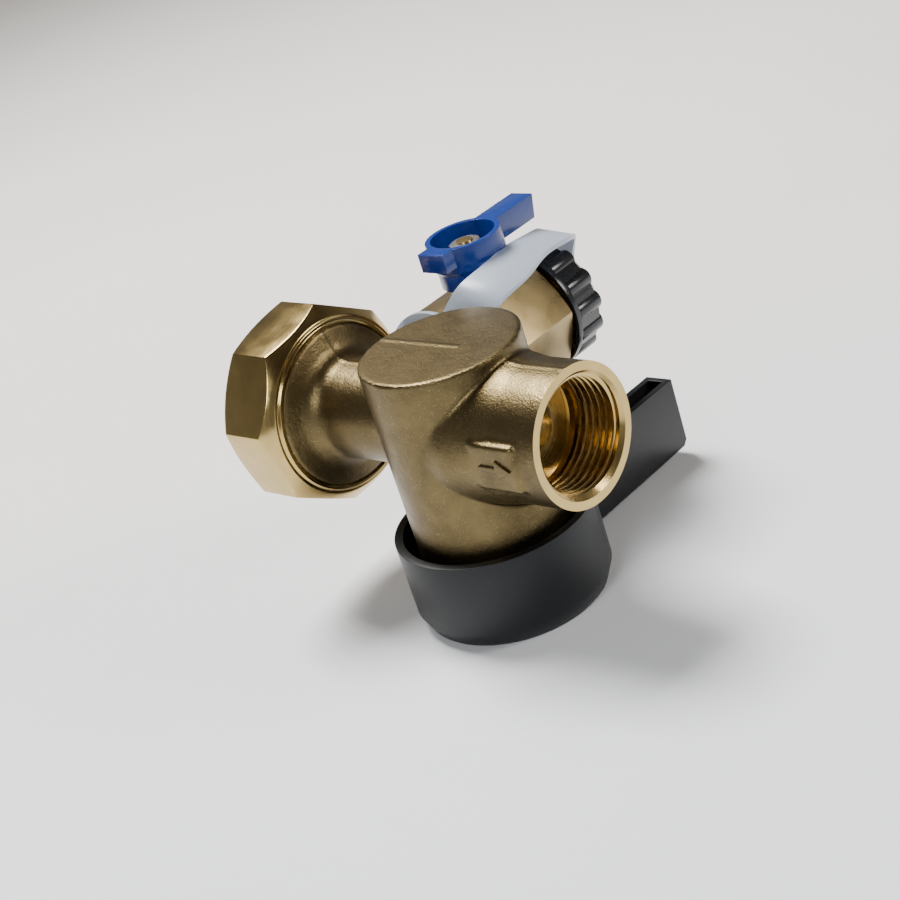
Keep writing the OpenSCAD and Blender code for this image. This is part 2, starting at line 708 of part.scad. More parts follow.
module drain_cap() {
    color([0.08, 0.08, 0.1]) at_drain() translate([0, cap_mouth, 0]) along_y() difference() {
        union() {
            rotate_extrude() polygon([[0, 0], [cap_r, 0], [cap_r, cap_end - cap_mouth - cap_round],
                                      [cap_r - cap_round, cap_end - cap_mouth], [0, cap_end - cap_mouth]]);
            for (i = [0:cap_lobes - 1]) rotate([0, 0, 360 * i / cap_lobes])
                translate([cap_r - lobe_r + lobe_stand, 0, 0])
                    cylinder(r = lobe_r, h = cap_end - cap_mouth - lobe_stop, $fn = 24);
        }
        translate([0, 0, -cut]) cylinder(r = cap_bore_r, h = cap_floor_y - cap_mouth + cut);
        cylinder(r = rivet_r + 2 * run_gap, h = 2 * (cap_end - cap_mouth));
    }
}

module cap_gasket() {
    color("dimgray") at_drain() translate([0, cap_gasket_y, 0]) along_y()
        tube(cap_bore_r - press_gap, hose_r - 4.5, cap_gasket_t);
}

module strap_rivet() {
    color("whitesmoke") at_drain() translate([0, strap_end_y, 0]) along_y() {
        translate([0, 0, -cap_floor - free_gap - 1])
            cylinder(r = rivet_r, h = cap_floor + free_gap + strap_t + 1 + lap);
        translate([0, 0, strap_t + press_gap]) cylinder(r = rivet_head_r, h = rivet_head_t);
        translate([0, 0, -cap_floor - free_gap - 1.2]) cylinder(r = rivet_r + 0.6, h = 0.9);
    }
}

// the strap's middle line in the plane of the drain axis: [height over the axis, place along it]
function arch(t) = let (start = [eyelet_r - 2, drain_face + strap_t / 2 + 0.1],
                        rise = max(strap_rise, 2 * cap_r - 1),
                        lean = [1.55 * rise, body_r + 7.3],
                        tail = [0.82 * rise, strap_end_y + 0.52 * cap_r],
                        end = [strap_end_r - 1, strap_end_y + strap_t / 2])
    pow(1 - t, 3) * start + 3 * pow(1 - t, 2) * t * lean + 3 * (1 - t) * t * t * tail + t * t * t * end;

module strap() {
    steps = 24;
    middle = [for (i = [0:steps]) arch(i / steps)];
    normal = [for (i = [0:steps]) let (d = middle[min(i + 1, steps)] - middle[max(i - 1, 0)])
              [d[1], -d[0]] / norm(d)];
    outer = [for (i = [0:steps]) middle[i] + normal[i] * strap_t / 2];
    inner = [for (i = [steps:-1:0]) middle[i] - normal[i] * strap_t / 2];
    color("gainsboro") at_drain() union() {
        rotate([0, -strap_angle, 0]) translate([0, 0, -strap_w / 2])
            linear_extrude(height = strap_w) polygon(concat(outer, inner));
        translate([0, drain_face + press_gap, 0]) along_y() tube(eyelet_r, spigot_r + lap, strap_t);
        translate([0, strap_end_y, 0]) along_y() tube(strap_end_r, rivet_r + press_gap, strap_t);
    }
}

valve_body();
outlet_seat();
inlet_seat();
bonnet();
bonnet_o_ring();
thrust_washer();
main_ball();
main_stem();
stem_o_rings();
main_handle();
handle_screw();
check_housing();
check_o_ring();
check_guide();
check_poppet();
poppet_seal();
check_spring();
union_nut();
snap_ring();
inlet_gasket();
drain_body();
drain_inner_seat();
drain_outer_seat();
drain_seat_retainer();
drain_ball();
drain_stem();
drain_stem_o_ring();
drain_handle();
drain_handle_nut();
drain_cap();
cap_gasket();
strap();
strap_rivet();
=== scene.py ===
"""Looks for the backflow preventer: new meshes for the pieces that show, and procedural finishes for all."""
import json
import math

import bmesh
import bpy
from bpy.props import FloatProperty, FloatVectorProperty, IntProperty, PointerProperty
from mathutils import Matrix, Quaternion, Vector


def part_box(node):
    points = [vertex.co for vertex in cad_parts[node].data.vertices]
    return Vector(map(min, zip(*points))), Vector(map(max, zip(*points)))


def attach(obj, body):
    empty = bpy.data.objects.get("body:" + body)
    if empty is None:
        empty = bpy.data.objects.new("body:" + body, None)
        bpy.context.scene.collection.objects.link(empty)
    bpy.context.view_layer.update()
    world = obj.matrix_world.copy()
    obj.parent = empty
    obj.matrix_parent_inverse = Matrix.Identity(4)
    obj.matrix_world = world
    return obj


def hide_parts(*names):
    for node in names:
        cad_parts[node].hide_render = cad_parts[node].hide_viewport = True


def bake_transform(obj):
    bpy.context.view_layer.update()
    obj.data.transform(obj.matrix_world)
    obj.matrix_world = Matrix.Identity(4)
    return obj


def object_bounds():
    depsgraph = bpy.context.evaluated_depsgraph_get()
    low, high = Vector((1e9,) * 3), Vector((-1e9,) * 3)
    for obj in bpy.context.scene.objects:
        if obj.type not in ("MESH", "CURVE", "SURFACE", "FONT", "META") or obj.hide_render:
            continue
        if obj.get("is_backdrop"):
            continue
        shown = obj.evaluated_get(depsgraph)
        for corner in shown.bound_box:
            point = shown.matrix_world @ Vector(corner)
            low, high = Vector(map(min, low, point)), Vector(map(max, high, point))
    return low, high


bl_info = {
    "name": "Backflow preventer",
    "version": (1, 0, 0),
    "blender": (4, 5, 0),
    "location": "3D view > Sidebar > Valve",
    "description": "Builds the visible pieces of a backflow preventer round its packed frame",
    "category": "Object",
}

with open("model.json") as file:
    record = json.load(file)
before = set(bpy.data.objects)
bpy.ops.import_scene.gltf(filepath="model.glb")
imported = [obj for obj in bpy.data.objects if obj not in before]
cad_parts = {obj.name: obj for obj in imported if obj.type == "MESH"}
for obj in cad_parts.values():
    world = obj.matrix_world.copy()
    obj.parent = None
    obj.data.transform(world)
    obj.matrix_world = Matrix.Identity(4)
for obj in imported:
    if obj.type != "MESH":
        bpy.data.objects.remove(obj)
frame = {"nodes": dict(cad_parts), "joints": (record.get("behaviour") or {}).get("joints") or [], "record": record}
JOINTS = {joint["name"]: joint for joint in frame["joints"]}
MOUNTS = {mount["name"]: mount for mount in frame["record"]["mounts"]}
MM = 0.001
SEAM = 1e-6                 # vertices closer than this are merged
TURNED_SIDES = 96
THREAD_STEPS = 72
THREAD_DEPTH = 0.6403       # of a pipe thread, as a share of its pitch
AXIS_TURNS = {"X": (0, math.pi / 2, 0), "Y": (-math.pi / 2, 0, 0), "Z": (0, 0, 0)}

STEM_X = JOINTS["main_valve_turn"]["pos_m"][0]
DRAIN_X = JOINTS["drain_valve_turn"]["pos_m"][0]
DRAIN_Y = JOINTS["drain_valve_turn"]["pos_m"][1]

# points on the axes of the pipe, the main stem, the drain and the drain's stem
PIPE = (0, 0, 0)
STEM = (STEM_X, 0, 0)
DRAIN = (DRAIN_X, 0, 0)
DRAIN_STEM = (DRAIN_X, DRAIN_Y, 0)

PAD_X = -11 * MM            # middle of the pad with the flow arrow
OUTLET_BORE = MOUNTS["outlet"]["dims"]["r_mm"] * MM
UNION_BORE = MOUNTS["inlet_union"]["dims"]["r_mm"] * MM
BODY_LOW, BODY_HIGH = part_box("valve_body")
NUT_LOW, NUT_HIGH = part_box("union_nut")
HANDLE_LOW, HANDLE_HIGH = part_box("main_handle")
DRAIN_LOW, DRAIN_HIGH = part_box("drain_body")
LEVER_LOW, LEVER_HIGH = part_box("drain_handle")
CAP_LOW, CAP_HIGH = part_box("drain_cap")
RING_LOW, RING_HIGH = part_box("snap_ring")
RIVET_LOW, RIVET_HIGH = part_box("strap_rivet")


# ---- settings ----

def length(name, description, default_mm):
    """A size in metres, whose default is given in millimetres."""
    return FloatProperty(name=name, description=description, default=default_mm * MM, min=0, precision=5,
                         subtype="DISTANCE", unit="LENGTH")


def angle(name, description, default_degrees):
    """An angle, whose default is given in degrees."""
    return FloatProperty(name=name, description=description, default=math.radians(default_degrees),
                         subtype="ANGLE", unit="ROTATION")


def colour(name, description, default):
    """A linear colour."""
    return FloatVectorProperty(name=name, description=description, default=default, min=0, max=1,
                               size=3, subtype="COLOR")


class BodySettings(bpy.types.PropertyGroup):
    """Sizes of the cast body."""
    barrel_radius: length("Barrel radius", "Outside radius of the upright barrel", 18)
    boss_radius: length("Boss radius", "Outside radius of the outlet boss", 15.3)
    boss_flare: length("Boss flare", "How much wider the boss is where it leaves the barrel", 2.2)
    neck_radius: length("Neck radius", "Outside radius of the inlet neck", 11.5)
    flare_radius: length("Flare radius", "Fillet between the neck and the collar", 5)
    collar_radius: length("Collar radius", "Outside radius of the collar", 18.2)
    drain_boss_radius: length("Drain boss radius", "Outside radius of the drain boss", 10.4)
    grid: length("Casting grid", "Cell size of the casting's mesh", 0.5)
    parting_line: length("Parting line", "Height of the line where the two moulds met", 0.126)
    throat_radius: length("Throat radius", "Radius of the waterway", 7.5)
    mouth_chamfer: length("Mouth chamfer", "Chamfer where the outlet thread starts", 1.2)
    outlet_pitch: length("Outlet pitch", "Pitch of the outlet thread", 1.814)
    outlet_depth: length("Outlet depth", "Depth of the outlet thread", 14)


class UnionSettings(bpy.types.PropertyGroup):
    """Sizes of the union nut."""
    flats: IntProperty(name="Flats", description="Flats round the nut", default=8, min=6, max=8)
    flat_turn: angle("Turn of the flats", "Angle of the first corner about the pipe axis", 36)
    inner_radius: length("Radius at a flat", "From the axis to the middle of a flat", 22.005)
    pitch: length("Pitch", "Pitch of the union thread", 2.309)
    hole_radius: length("Hole radius", "Hole in the lip", 18.6)
    lip: length("Lip", "Thickness of the lip", 3.1)
    step: length("Step", "How far the lip's ring stands proud", 0.7)


class HandleSettings(bpy.types.PropertyGroup):
    """Sizes of the main handle."""
    wall: length("Cup wall", "Wall of the cup", 2)
    bevel_height: length("Bevel height", "Height of the cup's slanted foot", 4.3)
    base_step: length("Base step", "How much smaller the foot is than the cup", 1.6)
    lever_width: length("Lever width", "Width of the lever", 7.4)
    lever_wall: length("Lever wall", "Wall of the lever's channel", 1.6)
    rounding: length("Rounding", "Rounding of the moulded edges", 0.45)


class DrainSettings(bpy.types.PropertyGroup):
    """Sizes of the drain valve, its handle and its cap."""
    hex_radius: length("Hexagon radius", "From the axis to the middle of a flat", 13.5)
    hex_turn: angle("Hexagon turn", "Turn of the hexagon about the drain axis", 22)
    hex_start: length("Hexagon start", "Where the hexagon starts along the drain axis", 17.7)
    hex_end: length("Hexagon end", "Where the hexagon ends along the drain axis", 46.9)
    hose_radius: length("Hose thread radius", "Crest radius of the hose thread", 13.22)
    hose_pitch: length("Hose pitch", "Pitch of the hose thread", 1.814)
    tower_radius: length("Tower radius", "Radius of the stem tower", 6.3)
    hub_wall: length("Hub wall", "Wall of the blue handle's hub", 1.3)
    hub_radius: length("Hub radius", "Radius of the blue handle's hub", 8.9)
    lever_width: length("Lever width", "Width of the blue lever", 6.5)
    lever_height: length("Lever height", "Height of the blue lever", 5.5)
    tab_width: length("Tab width", "Width of the thumb tab", 7.8)
    tab_height: length("Tab height", "Height of the thumb tab", 4.4)
    lobes: IntProperty(name="Lobes", description="Grip lobes round the cap", default=14, min=6, max=24)
    lobe_radius: length("Lobe radius", "Radius of a grip lobe", 2.5)


class StrapSettings(bpy.types.PropertyGroup):
    """Sizes of the cap strap."""
    width: length("Width", "Width of the strap", 11)
    thickness: length("Thickness", "Thickness of the strap", 1.1)
    start_angle: angle("Start angle", "Direction in which the strap leaves the body, up from the outlet side",
                       54)
    end_angle: angle("End angle", "Direction from which the strap comes down to the cap", 84)
    eyelet_radius: length("Eyelet radius", "Outside radius of the eyelet on the drain boss", 15.83)
    end_radius: length("End radius", "Outside radius of the eyelet on the cap", 6.5)


class FinishSettings(bpy.types.PropertyGroup):
    """Colours of the finishes."""
    cast: colour("Cast brass", "Sand-cast body", (0.135, 0.100, 0.045))
    machined: colour("Machined brass", "Turned faces and threads", (0.52, 0.375, 0.145))
    pressed: colour("Pressed brass", "Hexagon of the drain valve", (0.34, 0.25, 0.115))
    black: colour("Black plastic", "Main handle", (0.0045, 0.005, 0.0062))
    cap: colour("Cap plastic", "Drain cap", (0.010, 0.011, 0.013))
    blue: colour("Blue plastic", "Drain handle", (0.0015, 0.026, 0.20))
    strap: colour("Strap plastic", "Milky strap", (0.55, 0.62, 0.72))


class StageSettings(bpy.types.PropertyGroup):
    """Camera, light and floor."""
    azimuth: angle("Azimuth", "Direction of the camera round the object", 49.86)
    elevation: angle("Elevation", "Height of the camera over the horizon", 25.31)
    roll: angle("Roll", "How far the picture is turned", 18.32)
    distance: length("Distance", "From the camera to its target", 389.73)
    lens: FloatProperty(name="Lens", description="Focal length in millimetres", default=72.88, min=1)
    target: FloatVectorProperty(name="Target", description="The point that the camera looks at",
                                default=(STEM_X - 1.23 * MM, -4.96 * MM, -4.77 * MM), subtype="XYZ",
                                unit="LENGTH")
    floor_size: length("Floor size", "Side of the floor", 6000)


def settings(name):
    """A settings group of the scene."""
    return getattr(bpy.context.scene, name)


# ---- modelling ----

def deselect_all():
    """Leaves edit mode and clears the selection."""
    if bpy.context.mode != "OBJECT":
        bpy.ops.object.mode_set(mode="OBJECT")
    bpy.ops.object.select_all(action="DESELECT")


def activate(obj):
    """Makes obj the only selected object."""
    deselect_all()
    obj.select_set(True)
    bpy.context.view_layer.objects.active = obj


def edit(obj, action="SELECT"):
    """Opens obj in edit mode with all of it selected, or none of it."""
    activate(obj)
    bpy.ops.object.mode_set(mode="EDIT")
    bpy.ops.mesh.select_all(action=action)


def pick(obj, kind, rule):
    """Opens obj in edit mode with only those of its verts or edges selected that the rule picks."""
    edit(obj, "DESELECT")
    mesh = bmesh.from_edit_mesh(obj.data)
    for item in getattr(mesh, kind):
        item.select = rule(item)
    mesh.select_flush_mode()
    bmesh.update_edit_mesh(obj.data)


def leave_edit():
    """Goes back to object mode."""
    bpy.ops.object.mode_set(mode="OBJECT")


def added(name):
    """Names the primitive that was just added and applies its place."""
    obj = bpy.context.active_object
    obj.name = name
    obj.data.name = name
    bpy.ops.object.transform_apply(location=True, rotation=True, scale=True)
    return obj


def apply_modifier(obj, kind, **values):
    """Adds a modifier, sets its values and applies it."""
    activate(obj)
    bpy.ops.object.modifier_add(type=kind)
    modifier = obj.modifiers[-1]
    for key, value in values.items():
        setattr(modifier, key, value)
    bpy.ops.object.modifier_apply(modifier=modifier.name)
    return obj


def remove(obj):
    """Deletes an object that is no longer needed."""
    activate(obj)
    bpy.ops.object.delete()


def combine(obj, tool, operation="UNION"):
    """Joins, cuts or intersects obj with tool, which is used up and lends its material to the new faces."""
    apply_modifier(obj, "BOOLEAN", object=tool, operation=operation, solver="EXACT", material_mode="TRANSFER")
    remove(tool)
    if not obj.data.polygons:
        raise RuntimeError(f"{obj.name} came out empty")
    return obj


def turned_to(obj, axis, centre):
    """Turns a piece made along Z so that it runs along axis, and moves it to centre."""
    activate(obj)
    obj.rotation_euler = AXIS_TURNS[axis]
    obj.location = centre
    bpy.ops.object.transform_apply(location=True, rotation=True, scale=True)
    return obj


def outline(name, points):
    """A line through points, which are (radius, place along the axis), drawn one vertex after another."""
    deselect_all()
    bpy.ops.mesh.primitive_plane_add(size=MM)
    obj = added(name)
    edit(obj)
    bpy.ops.mesh.merge(type="CENTER")
    last = Vector((0, 0, 0))
    for index, (radius, along) in enumerate(points):
        point = Vector((radius, 0, along))
        if index == 0:
            bpy.ops.transform.translate(value=point - last)
        else:
            bpy.ops.mesh.extrude_region_move(TRANSFORM_OT_translate={"value": point - last})
        last = point
    leave_edit()
    return obj


def rod(radius, low, high):
    """Outline of a plain rod."""
    return [(0, low), (radius, low), (radius, high), (0, high)]


def washer(hole, radius, low, high):
    """Outline of a flat ring."""
    return [(hole, low), (radius, low), (radius, high), (hole, high), (hole, low)]


def clean(obj):
    """Closes seams and points all faces outwards."""
    edit(obj)
    bpy.ops.mesh.remove_doubles(threshold=SEAM)
    bpy.ops.mesh.normals_make_consistent(inside=False)
    leave_edit()
    return obj


def swept(obj, steps, rise=0, turns=1):
    """Sweeps an outline about the Z axis, with a rise for each turn."""
    apply_modifier(obj, "SCREW", angle=math.tau, screw_offset=rise, iterations=turns, steps=steps,
                   render_steps=steps, use_merge_vertices=True, merge_threshold=SEAM, axis="Z")
    return clean(obj)


def turned(name, points, axis="Z", centre=PIPE, sides=TURNED_SIDES):
    """A solid turned from an outline whose ends lie on the axis, or whose last point is its first."""
    return turned_to(swept(outline(name, points), sides), axis, centre)


def threaded(name, root, crest, pitch, start, end, axis, centre):
    """A solid threaded rod from start to end along its axis. Its flanks run between root and crest."""
    flat, lead, spare_turns = pitch * 0.09, 1.5 * pitch, 3
    tooth = [(root, 0), (root, flat), (crest, pitch / 2 - flat), (crest, pitch / 2 + flat),
             (root, pitch - flat), (root, pitch)]
    turns = math.ceil((end - start) / pitch) + spare_turns
    obj = outline(name, [(radius, along + start - lead) for radius, along in tooth])
    swept(obj, THREAD_STEPS, pitch, turns)
    for cut, side in ((start, -1), (end, 1)):
        edit(obj)
        bpy.ops.mesh.bisect(plane_co=(0, 0, cut), plane_no=(0, 0, side), use_fill=True, clear_outer=True)
        leave_edit()
    clean(obj)
    return turned_to(obj, axis, centre)


def block(name, low, high):
    """A box between two corners."""
    low, high = Vector(low), Vector(high)
    deselect_all()
    bpy.ops.mesh.primitive_cube_add(size=1, location=(low + high) / 2, scale=high - low)
    return added(name)


def prism(name, sides, inner_radius, start, end, turn, axis, centre):
    """A prism with flats at inner_radius. turn is the angle of its first corner."""
    deselect_all()
    corner = inner_radius / math.cos(math.pi / sides)
    bpy.ops.mesh.primitive_cylinder_add(vertices=sides, radius=corner, depth=end - start,
                                        location=(0, 0, (start + end) / 2), rotation=(0, 0, turn))
    return turned_to(added(name), axis, centre)


def soften(obj, width, segments=3, limit=30):
    """Rounds the edges that are sharper than limit degrees."""
    return apply_modifier(obj, "BEVEL", width=width, segments=segments, limit_method="ANGLE",
                          angle_limit=math.radians(limit), miter_outer="MITER_ARC", use_clamp_overlap=True,
                          harden_normals=False)


def cast(obj, grid, smoothing):
    """Melts the joined shells of obj into one skin with soft corners."""
    apply_modifier(obj, "REMESH", mode="VOXEL", voxel_size=grid, adaptivity=0)
    return apply_modifier(obj, "SMOOTH", factor=0.5, iterations=smoothing)


def join(objects):
    """Joins objects into the first of them."""
    deselect_all()
    for obj in objects:
        obj.select_set(True)
    bpy.context.view_layer.objects.active = objects[0]
    bpy.ops.object.join()
    return objects[0]


def arc(centre_radius, centre_place, radius, start, end, steps=8):
    """Outline points round an arc, with its angles in degrees from the way the radius grows."""
    return [(centre_radius + radius * math.cos(math.radians(start + (end - start) * i / steps)),
             centre_place + radius * math.sin(math.radians(start + (end - start) * i / steps)))
            for i in range(steps + 1)]


def paint(obj, material):
    """Gives obj one material."""
    obj.data.materials.clear()
    obj.data.materials.append(material)
    return obj


def place(obj, body, slot, *nodes, smooth=35):
    """Shades a finished piece, mounts it on its body and hides the nodes that it stands for."""
    activate(obj)
    bpy.ops.object.shade_smooth_by_angle(angle=math.radians(smooth))
    if isinstance(body, str):
        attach(obj, body)
    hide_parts(*nodes)
    return obj


# ---- finishes ----

class Nodes:
    """Adds nodes and links to a node tree."""

    def __init__(self, tree):
        self.tree = tree

    def add(self, kind, **values):
        node = self.tree.nodes.new(kind)
        for key, value in values.items():
            setattr(node, key, value)
        return node

    def link(self, output, socket):
        self.tree.links.new(output, socket)

    def fill(self, socket, value):
        """Links value if it is an output, and sets it if it is a number."""
        if isinstance(value, bpy.types.NodeSocket):
            self.link(value, socket)
        else:
            socket.default_value = value

    def math(self, operation, first, second=0.0):
        node = self.add("ShaderNodeMath", operation=operation)
        self.fill(node.inputs[0], first)
        self.fill(node.inputs[1], second)
        return node.outputs[0]

    def noise(self, vector, scale, detail=3.0, roughness=0.55, output="Fac"):
        node = self.add("ShaderNodeTexNoise")
        self.fill(node.inputs["Vector"], vector)
        self.fill(node.inputs["Scale"], scale)
        node.inputs["Detail"].default_value = detail
        node.inputs["Roughness"].default_value = roughness
        return node.outputs[output]

    def remap(self, value, low, high, to_low, to_high):
        node = self.add("ShaderNodeMapRange")
        for index, item in enumerate((value, low, high, to_low, to_high)):
            self.fill(node.inputs[index], item)
        return node.outputs[0]

    def mix(self, share, first, second, blend_type="MIX"):
        node = self.add("ShaderNodeMix", data_type="RGBA", blend_type=blend_type)
        self.fill(node.inputs["Factor"], share)
        self.fill(node.inputs["A"], first)
        self.fill(node.inputs["B"], second)
        return node.outputs["Result"]


def rgba(values, gain=1.0):
    """A colour with alpha, made lighter or darker by gain."""
    return (*[min(1.0, v * gain) for v in values], 1.0)


def new_group(name, inputs, outputs):
    """An empty shader node group with its sockets. Each socket is (name, type, default)."""
    tree = bpy.data.node_groups.new(name, "ShaderNodeTree")
    for in_out, sockets in (("INPUT", inputs), ("OUTPUT", outputs)):
        for label, kind, default in sockets:
            socket = tree.interface.new_socket(name=label, in_out=in_out, socket_type="NodeSocket" + kind)
            if default is not None:
                socket.default_value = default
    nodes = Nodes(tree)
    return nodes, nodes.add("NodeGroupInput"), nodes.add("NodeGroupOutput")


def cast_grain_group():
    """Sand-cast skin: blotches, bright specks that are painted glints, and the height of the grains."""
    nodes, source, result = new_group(
        "cast_grain",
        [("Vector", "Vector", None), ("Grain", "Float", 2200.0), ("Specks", "Float", 4200.0)],
        [("Blotch", "Float", None), ("Speck", "Float", None), ("Height", "Float", None)])
    vector = source.outputs["Vector"]
    nodes.link(nodes.remap(nodes.noise(vector, 160.0, 4.0), 0.3, 0.7, 0.0, 1.0), result.inputs["Blotch"])
    cells = nodes.add("ShaderNodeTexVoronoi", feature="F1")
    nodes.link(vector, cells.inputs["Vector"])
    nodes.link(source.outputs["Specks"], cells.inputs["Scale"])
    chosen = nodes.add("ShaderNodeSeparateColor")
    nodes.link(cells.outputs["Color"], chosen.inputs[0])
    # The specks are painted glints: small cells where the skin is given a lighter colour.
    glint_speck = nodes.math("MULTIPLY", nodes.math("GREATER_THAN", chosen.outputs[0], 0.95),
                       nodes.math("LESS_THAN", cells.outputs["Distance"], 0.34))
    nodes.link(glint_speck, result.inputs["Speck"])
    fine = nodes.noise(vector, source.outputs["Grain"], 3.0, 0.6)
    coarse = nodes.noise(vector, 520.0, 2.0)
    nodes.link(nodes.math("ADD", nodes.math("MULTIPLY", fine, 0.5), nodes.math("MULTIPLY", coarse, 0.5)),
               result.inputs["Height"])
    return nodes.tree


def turning_group():
    """Fine rings left by the lathe about the Z axis of its vector."""
    nodes, source, result = new_group(
        "turning_rings", [("Vector", "Vector", None), ("Rings", "Float", 5200.0)],
        [("Ring", "Float", None), ("Smear", "Float", None)])
    parts = nodes.add("ShaderNodeSeparateXYZ")
    nodes.link(source.outputs["Vector"], parts.inputs[0])
    across = nodes.math("POWER", parts.outputs[0], 2.0)
    square = nodes.math("ADD", across, nodes.math("POWER", parts.outputs[1], 2.0))
    radius = nodes.math("SQRT", square)
    along = nodes.add("ShaderNodeTexNoise", noise_dimensions="1D")
    feed = nodes.math("MULTIPLY", parts.outputs[2], 0.83)
    nodes.link(nodes.math("ADD", radius, feed), along.inputs["W"])
    nodes.link(source.outputs["Rings"], along.inputs["Scale"])
    nodes.link(along.outputs["Fac"], result.inputs["Ring"])
    nodes.link(nodes.remap(nodes.noise(source.outputs["Vector"], 210.0, 3.0), 0.3, 0.7, 0.0, 1.0),
               result.inputs["Smear"])
    return nodes.tree


def moulded_group():
    """Fine skin of a moulded plastic with faint scuffs."""
    nodes, source, result = new_group(
        "moulded_skin", [("Vector", "Vector", None), ("Grain", "Float", 3800.0)],
        [("Grain", "Float", None), ("Scuff", "Float", None)])
    vector = source.outputs["Vector"]
    nodes.link(nodes.noise(vector, source.outputs["Grain"], 2.0), result.inputs["Grain"])
    stretched = nodes.add("ShaderNodeMapping")
    nodes.link(vector, stretched.inputs["Vector"])
    stretched.inputs["Rotation"].default_value = (0.4, 0.7, 0.5)
    stretched.inputs["Scale"].default_value = (1.0, 9.0, 9.0)
    scuff = nodes.noise(stretched.outputs[0], 160.0, 5.0, 0.7)
    nodes.link(nodes.remap(scuff, 0.58, 0.74, 0.0, 1.0), result.inputs["Scuff"])
    return nodes.tree


def new_material(name, **sockets):
    """A material with one Principled shader, whose even values are set on its own sockets."""
    material = bpy.data.materials.new(name)
    material.use_nodes = True
    nodes = Nodes(material.node_tree)
    shader = material.node_tree.nodes["Principled BSDF"]
    for label, value in sockets.items():
        shader.inputs[label.replace("_", " ")].default_value = value
    material.diffuse_color = sockets.get("Base_Color", (0.5, 0.5, 0.5, 1.0))
    coordinates = nodes.add("ShaderNodeTexCoord").outputs["Object"]
    return material, nodes, shader, coordinates


def use_group(nodes, tree, vector, **values):
    """Places a node group and sets its inputs."""
    group = nodes.add("ShaderNodeGroup", node_tree=tree)
    nodes.link(vector, group.inputs["Vector"])
    for label, value in values.items():
        group.inputs[label].default_value = value
    return group.outputs


def bump(nodes, shader, height, depth):
    """Bends the shader's normal by a height, whose full swing is depth metres."""
    node = nodes.add("ShaderNodeBump")
    node.inputs["Strength"].default_value = 1.0
    node.inputs["Distance"].default_value = depth
    nodes.link(height, node.inputs["Height"])
    nodes.link(node.outputs["Normal"], shader.inputs["Normal"])


def cast_brass(tree, tint):
    """Sand-cast brass: a dull skin of fine grains with bright specks, which are painted glints of lighter brass
    that are also glossier.
    """
    material, nodes, shader, vector = new_material("cast_brass", Base_Color=rgba(tint), Metallic=1.0)
    grain = use_group(nodes, tree, vector)
    base = nodes.mix(grain["Blotch"], rgba(tint, 0.80), rgba(tint, 1.12))
    # Painted glints: at the specks the base colour turns to a lighter brass; their lower roughness below is real
    # gloss.
    nodes.link(nodes.mix(grain["Speck"], base, rgba((0.30, 0.23, 0.12))), shader.inputs["Base Color"])
    rough = nodes.remap(grain["Blotch"], 0.0, 1.0, 0.40, 0.31)
    glint = nodes.math("MULTIPLY", grain["Speck"], 0.1)
    nodes.link(nodes.math("SUBTRACT", rough, glint), shader.inputs["Roughness"])
    bump(nodes, shader, grain["Height"], 0.16 * MM)
    return material


def turned_brass(name, tree, tint, axis, centre, roughness, rings=0.35, depth=0.006):
    """Brass with lathe rings about an axis through centre."""
    material, nodes, shader, vector = new_material(name, Base_Color=rgba(tint), Metallic=1.0)
    mapping = nodes.add("ShaderNodeMapping", vector_type="TEXTURE")
    mapping.inputs["Location"].default_value = centre
    mapping.inputs["Rotation"].default_value = AXIS_TURNS[axis]
    nodes.link(vector, mapping.inputs["Vector"])
    marks = use_group(nodes, tree, mapping.outputs[0])
    nodes.link(nodes.mix(marks["Smear"], rgba(tint, 0.90), rgba(tint, 1.06)), shader.inputs["Base Color"])
    ring = nodes.remap(marks["Ring"], 0.3, 0.7, roughness * (1 - rings), roughness * (1 + rings))
    smear = nodes.math("MULTIPLY", marks["Smear"], 0.06)
    nodes.link(nodes.math("ADD", ring, smear), shader.inputs["Roughness"])
    bump(nodes, shader, marks["Ring"], depth * MM)
    return material


def moulded(name, tree, tint, roughness, scuff=0.10, depth=0.012, **sockets):
    """Moulded plastic with a fine skin, scuffs and slightly uneven gloss."""
    material, nodes, shader, vector = new_material(name, Base_Color=rgba(tint), **sockets)
    skin = use_group(nodes, tree, vector)
    lighter = rgba([v * 1.25 + 0.006 for v in tint])
    nodes.link(nodes.mix(skin["Scuff"], rgba(tint), lighter), shader.inputs["Base Color"])
    gloss = nodes.remap(skin["Grain"], 0.3, 0.7, roughness * 0.92, roughness * 1.08)
    scuffed = nodes.math("MULTIPLY", skin["Scuff"], scuff)
    nodes.link(nodes.math("ADD", gloss, scuffed), shader.inputs["Roughness"])
    bump(nodes, shader, skin["Grain"], depth * MM)
    return material


